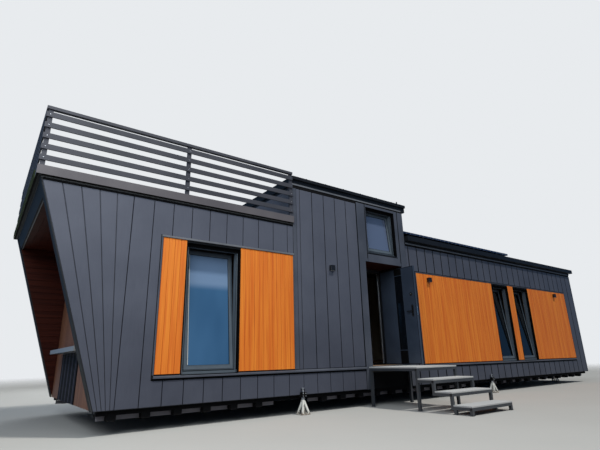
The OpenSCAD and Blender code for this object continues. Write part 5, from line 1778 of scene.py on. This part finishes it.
# %% Lit bars behind the hanger blocks
beams = Span("edge_beams")
bar_x = [(beams.x0 + 0.02, TOWER_X - 0.33), (TOWER_X + 0.36, RIGHT_X + 2.25),
         (RIGHT_X + 3.05, beams.x1 - 0.02)]
# painted light: the bars are grey where the chassis is black
bar_rows = [(x0, x1, y, y + 0.006, SKIRT_Z - 0.125, SKIRT_Z - 0.062)
            for x0, x1 in bar_x for y in (FRONT_Y + 0.171, BACK_Y - 0.177)]
bars("lit_strip_bars", bar_rows, lit_bar_grey, cut=0.001)

# %% [markdown]
# ## Landing and steps
#
# The landing and its steps are a dark steel frame with pale ribbed walking boards. The ribs run across
# the way one walks, for grip, and the front of each tread is rounded down. The boards take the place
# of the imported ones, with the same thickness.

# %% Ribbed boards
RIBBED_PITCH = 0.0135
RIBBED_DEPTH = 0.003
NOSE = 0.004
WALK_BOARDS = 8
BOARD_JOINT = 0.005
GOING = 0.32
RISE = 0.185
TREAD_T = 0.022


def ribbed_board(x0, x1, y0, y1, z0, z1):
    """A board along X with ribs along X on its top; outline in Y and Z."""
    n = max(2, round((y1 - y0 - 2 * NOSE) / RIBBED_PITCH))
    step = (y1 - y0 - 2 * NOSE) / n
    s = y0 + NOSE + np.arange(n)[:, None] * step + np.array([0.0, 0.45, 0.60, 0.85]) * step
    h = np.tile([z1, z1, z1 - RIBBED_DEPTH, z1 - RIBBED_DEPTH], n)
    near, far = inside(y0, y1, 0.3 * NOSE)
    front_edge = [[y0, z0], [y0, z1 - NOSE], [near, z1 - 0.3 * NOSE]]
    back_edge = [[y1 - NOSE, z1], [far, z1 - 0.3 * NOSE], [y1, z1 - NOSE], [y1, z0]]
    return carried(np.concatenate([front_edge, np.column_stack([s.ravel(), h]), back_edge]), 0, x0, x1)


walk = Span("landing_boards")
treads = Span("step_treads")
board_w = (walk.y1 - walk.y0 + BOARD_JOINT) / WALK_BOARDS - BOARD_JOINT
board_y = walk.y0 + np.arange(WALK_BOARDS) * (board_w + BOARD_JOINT)
steps = [(walk.y0 - GOING * k, walk.z1 - RISE * k) for k in (1, 2, 3)]
walk_parts = [ribbed_board(walk.x0, walk.x1, y, y + board_w, walk.z0, walk.z1) for y in board_y]
tread_parts = [ribbed_board(treads.x0, treads.x1, y, y + GOING - 0.0005, z - TREAD_T, z) for y, z in steps]
mesh_piece("landing_ribbed_boards", *joined(walk_parts), tread_board, stands_for=("landing_boards",))
mesh_piece("ribbed_treads", *joined(tread_parts), tread_board, stands_for=("step_treads",))

# %% [markdown]
# Each board is screwed down near both ends, through its ribs into the steel. Every leg stands on a
# small foot plate that spreads its load on the ground, and the open ends of the tubes are closed with
# black plastic plugs.

# %% Screws, foot plates and plugs
TUBE = 0.045
PLATE_OUT = 0.012
screw_x = inside(walk.x0, walk.x1, 0.022)
screw_places = [(x, y + board_w / 2 + dy, walk.z1)
                for x in screw_x for y in board_y for dy in (-0.035, 0.035)]
screw_places += [(x, y + v, z) for x in screw_x for y, z in steps for v in (0.03, 0.16, 0.29)]
mesh_piece("board_screws", *dots(np.array(screw_places) - [0, 0, 0.0028], 2, 0.006, 0.0034), zinc)

foot_y = Span("step_frames").y0
leg_y = [(foot_y, foot_y)] + [(y - PLATE_OUT, y) for y in (walk.y0, walk.y1 - TUBE, foot_y + 0.275)]
plate_rows = [(x - PLATE_OUT, x + TUBE + PLATE_OUT, low, y + TUBE + PLATE_OUT, 0.0, 0.005)
              for x in (walk.x0, walk.x1 - TUBE) for low, y in leg_y]
bars("foot_plates", plate_rows, step_paint, cut=0.001)

plug_x = ((walk.x0 - 0.002, walk.x0 - 0.0002), (walk.x1 + 0.0002, walk.x1 + 0.002))
tube_ends = [(walk.y0, walk.z0 - 0.0453)] + [(y, z - 0.0673) for y, z in steps]
plug_rows = [(*ends, *inside(y, y + TUBE, 0.004), *inside(z, z + TUBE, 0.004))
             for ends in plug_x for y, z in tube_ends]
bars("tube_plugs", plug_rows, black_hardware, cut=0.001)

# %% [markdown]
# ## Inside
#
# The photo shows no rooms, so the inside stays plain: floor boards from end to end, a small skirting
# along the walls, and deck boards in the entry recess. Their only job is that a look through the open
# door or a window finds a floor and not a bare slab.

# %% Floor boards and skirting
FLOOR_PITCH = 0.15
BOARD_L = 2.4
SHORTEST = 0.2
ROW_STEP = 0.37


def floor_quads(x0, x1, y0, y1, pitch=FLOOR_PITCH):
    """Boards along X in rows, with joints that step from row to row."""
    quads = []
    edges = even_edges(y0, y1, pitch)
    for row, (a, b) in enumerate(zip(edges[:-1], edges[1:])):
        cuts = x0 + BOARD_L * ((row * ROW_STEP) % 1 + np.arange(-1, 12))
        ends = np.concatenate([[x0], cuts[(cuts > x0 + SHORTEST) & (cuts < x1 - SHORTEST)], [x1]])
        quads += [corners(*inside(c, d, 0.001), *inside(a, b, 0.001)) for c, d in zip(ends[:-1], ends[1:])]
    return quads


slab = Span("floor_deck")
recess = Span("recess_walls")
inner_y0, inner_y1 = inside(FRONT_Y, BACK_Y, WALL_T + 0.002)
room_x0, room_x1 = inside(slab.x0, slab.x1, 0.002)
behind_door = jamb.y1 + 0.002
floor_parts = (floor_quads(room_x0, room_x1, behind_door, inner_y1)
               + floor_quads(room_x0, recess.x0 - 0.002, inner_y0, behind_door)
               + floor_quads(recess.x1 + 0.002, room_x1, inner_y0, behind_door)
               + floor_quads(*inside(DOOR_X0, DOOR_X1, 0.006), FRONT_Y + 0.080, RECESS_Y1, RECESS_PITCH))
floor_face = Face((0, 0, slab.z1), X, Y, Z)
mesh_piece("room_floor_boards", *boards(floor_face, floor_parts, 0.004, edge=0.002), floor_wood)

front_y = (inner_y0 - 0.0015, inner_y0 + 0.010)
side_y = inside(inner_y0, inner_y1, 0.011)
skirting_rows = [(room_x0, recess.x0 - 0.015, *front_y), (recess.x1 + 0.015, room_x1, *front_y),
                 (room_x0, room_x1, inner_y1 - 0.010, inner_y1 + 0.0015),
                 (room_x0, room_x0 + 0.012, *side_y), (room_x1 - 0.012, room_x1, *side_y)]
bars("skirting", [(*row, slab.z1 + 0.0045, slab.z1 + 0.080) for row in skirting_rows], floor_wood, cut=0.003)

# %% [markdown]
# ## Fixings
#
# Sheet cladding is screwed at its foot, and folded trims are riveted. The heads are small, in the
# colour of the trims, and evenly spaced. They go on last, because they follow everything else: along
# the foot of the lowest sheets, up the flat trims at the entry and across over it.

# %% Screws on the cladding and the trims
HEAD_R = 0.0045
HEAD_T = 0.0016
HEAD_SIDES = 8


def foot_heads(quads, y):
    """Places near the foot of every sheet that reaches down to the skirt, all at one y."""
    heads = spots(quads[:, :2, 0].mean(1), y, quads[:, 0, 1] + 0.025)
    return heads[quads[:, 0, 1] < FOOT_Z + 0.01]


trim_y = FRONT_Y - 0.0151
trim_x = np.array([SURROUND_X + 0.02, RIGHT_X - 0.02])[:, None]
column_heads = spots(trim_x, trim_y, np.arange(SKIRT_Z + 0.2, TOWER_TOP - 0.1, 0.6))
lintel_heads = spots(even_edges(DOOR_X0 + 0.12, DOOR_X1 - 0.05, 0.3), trim_y, DOOR_HEAD + 0.03)
front_heads = np.concatenate([foot_heads(front_quads, FRONT_Y - LIFT - 0.0002), column_heads, lintel_heads])
back_heads = foot_heads(back_quads, BACK_Y + LIFT + 0.0002)
mesh_piece("front_screws", *dots(front_heads, 1, HEAD_R, -HEAD_T, HEAD_SIDES), trim_metal)
mesh_piece("back_screws", *dots(back_heads, 1, HEAD_R, HEAD_T, HEAD_SIDES), trim_metal)

# %% [markdown]
# ## What was made
#
# The last cell prints what the lesson made: how many pieces, how many triangles, and the piece with
# the most.

# %% Sizes and the end
total = sum(triangle_count.values())
most = max(triangle_count, key=triangle_count.get)
print(f"{len(triangle_count)} pieces, {total} triangles, the most in {most}")
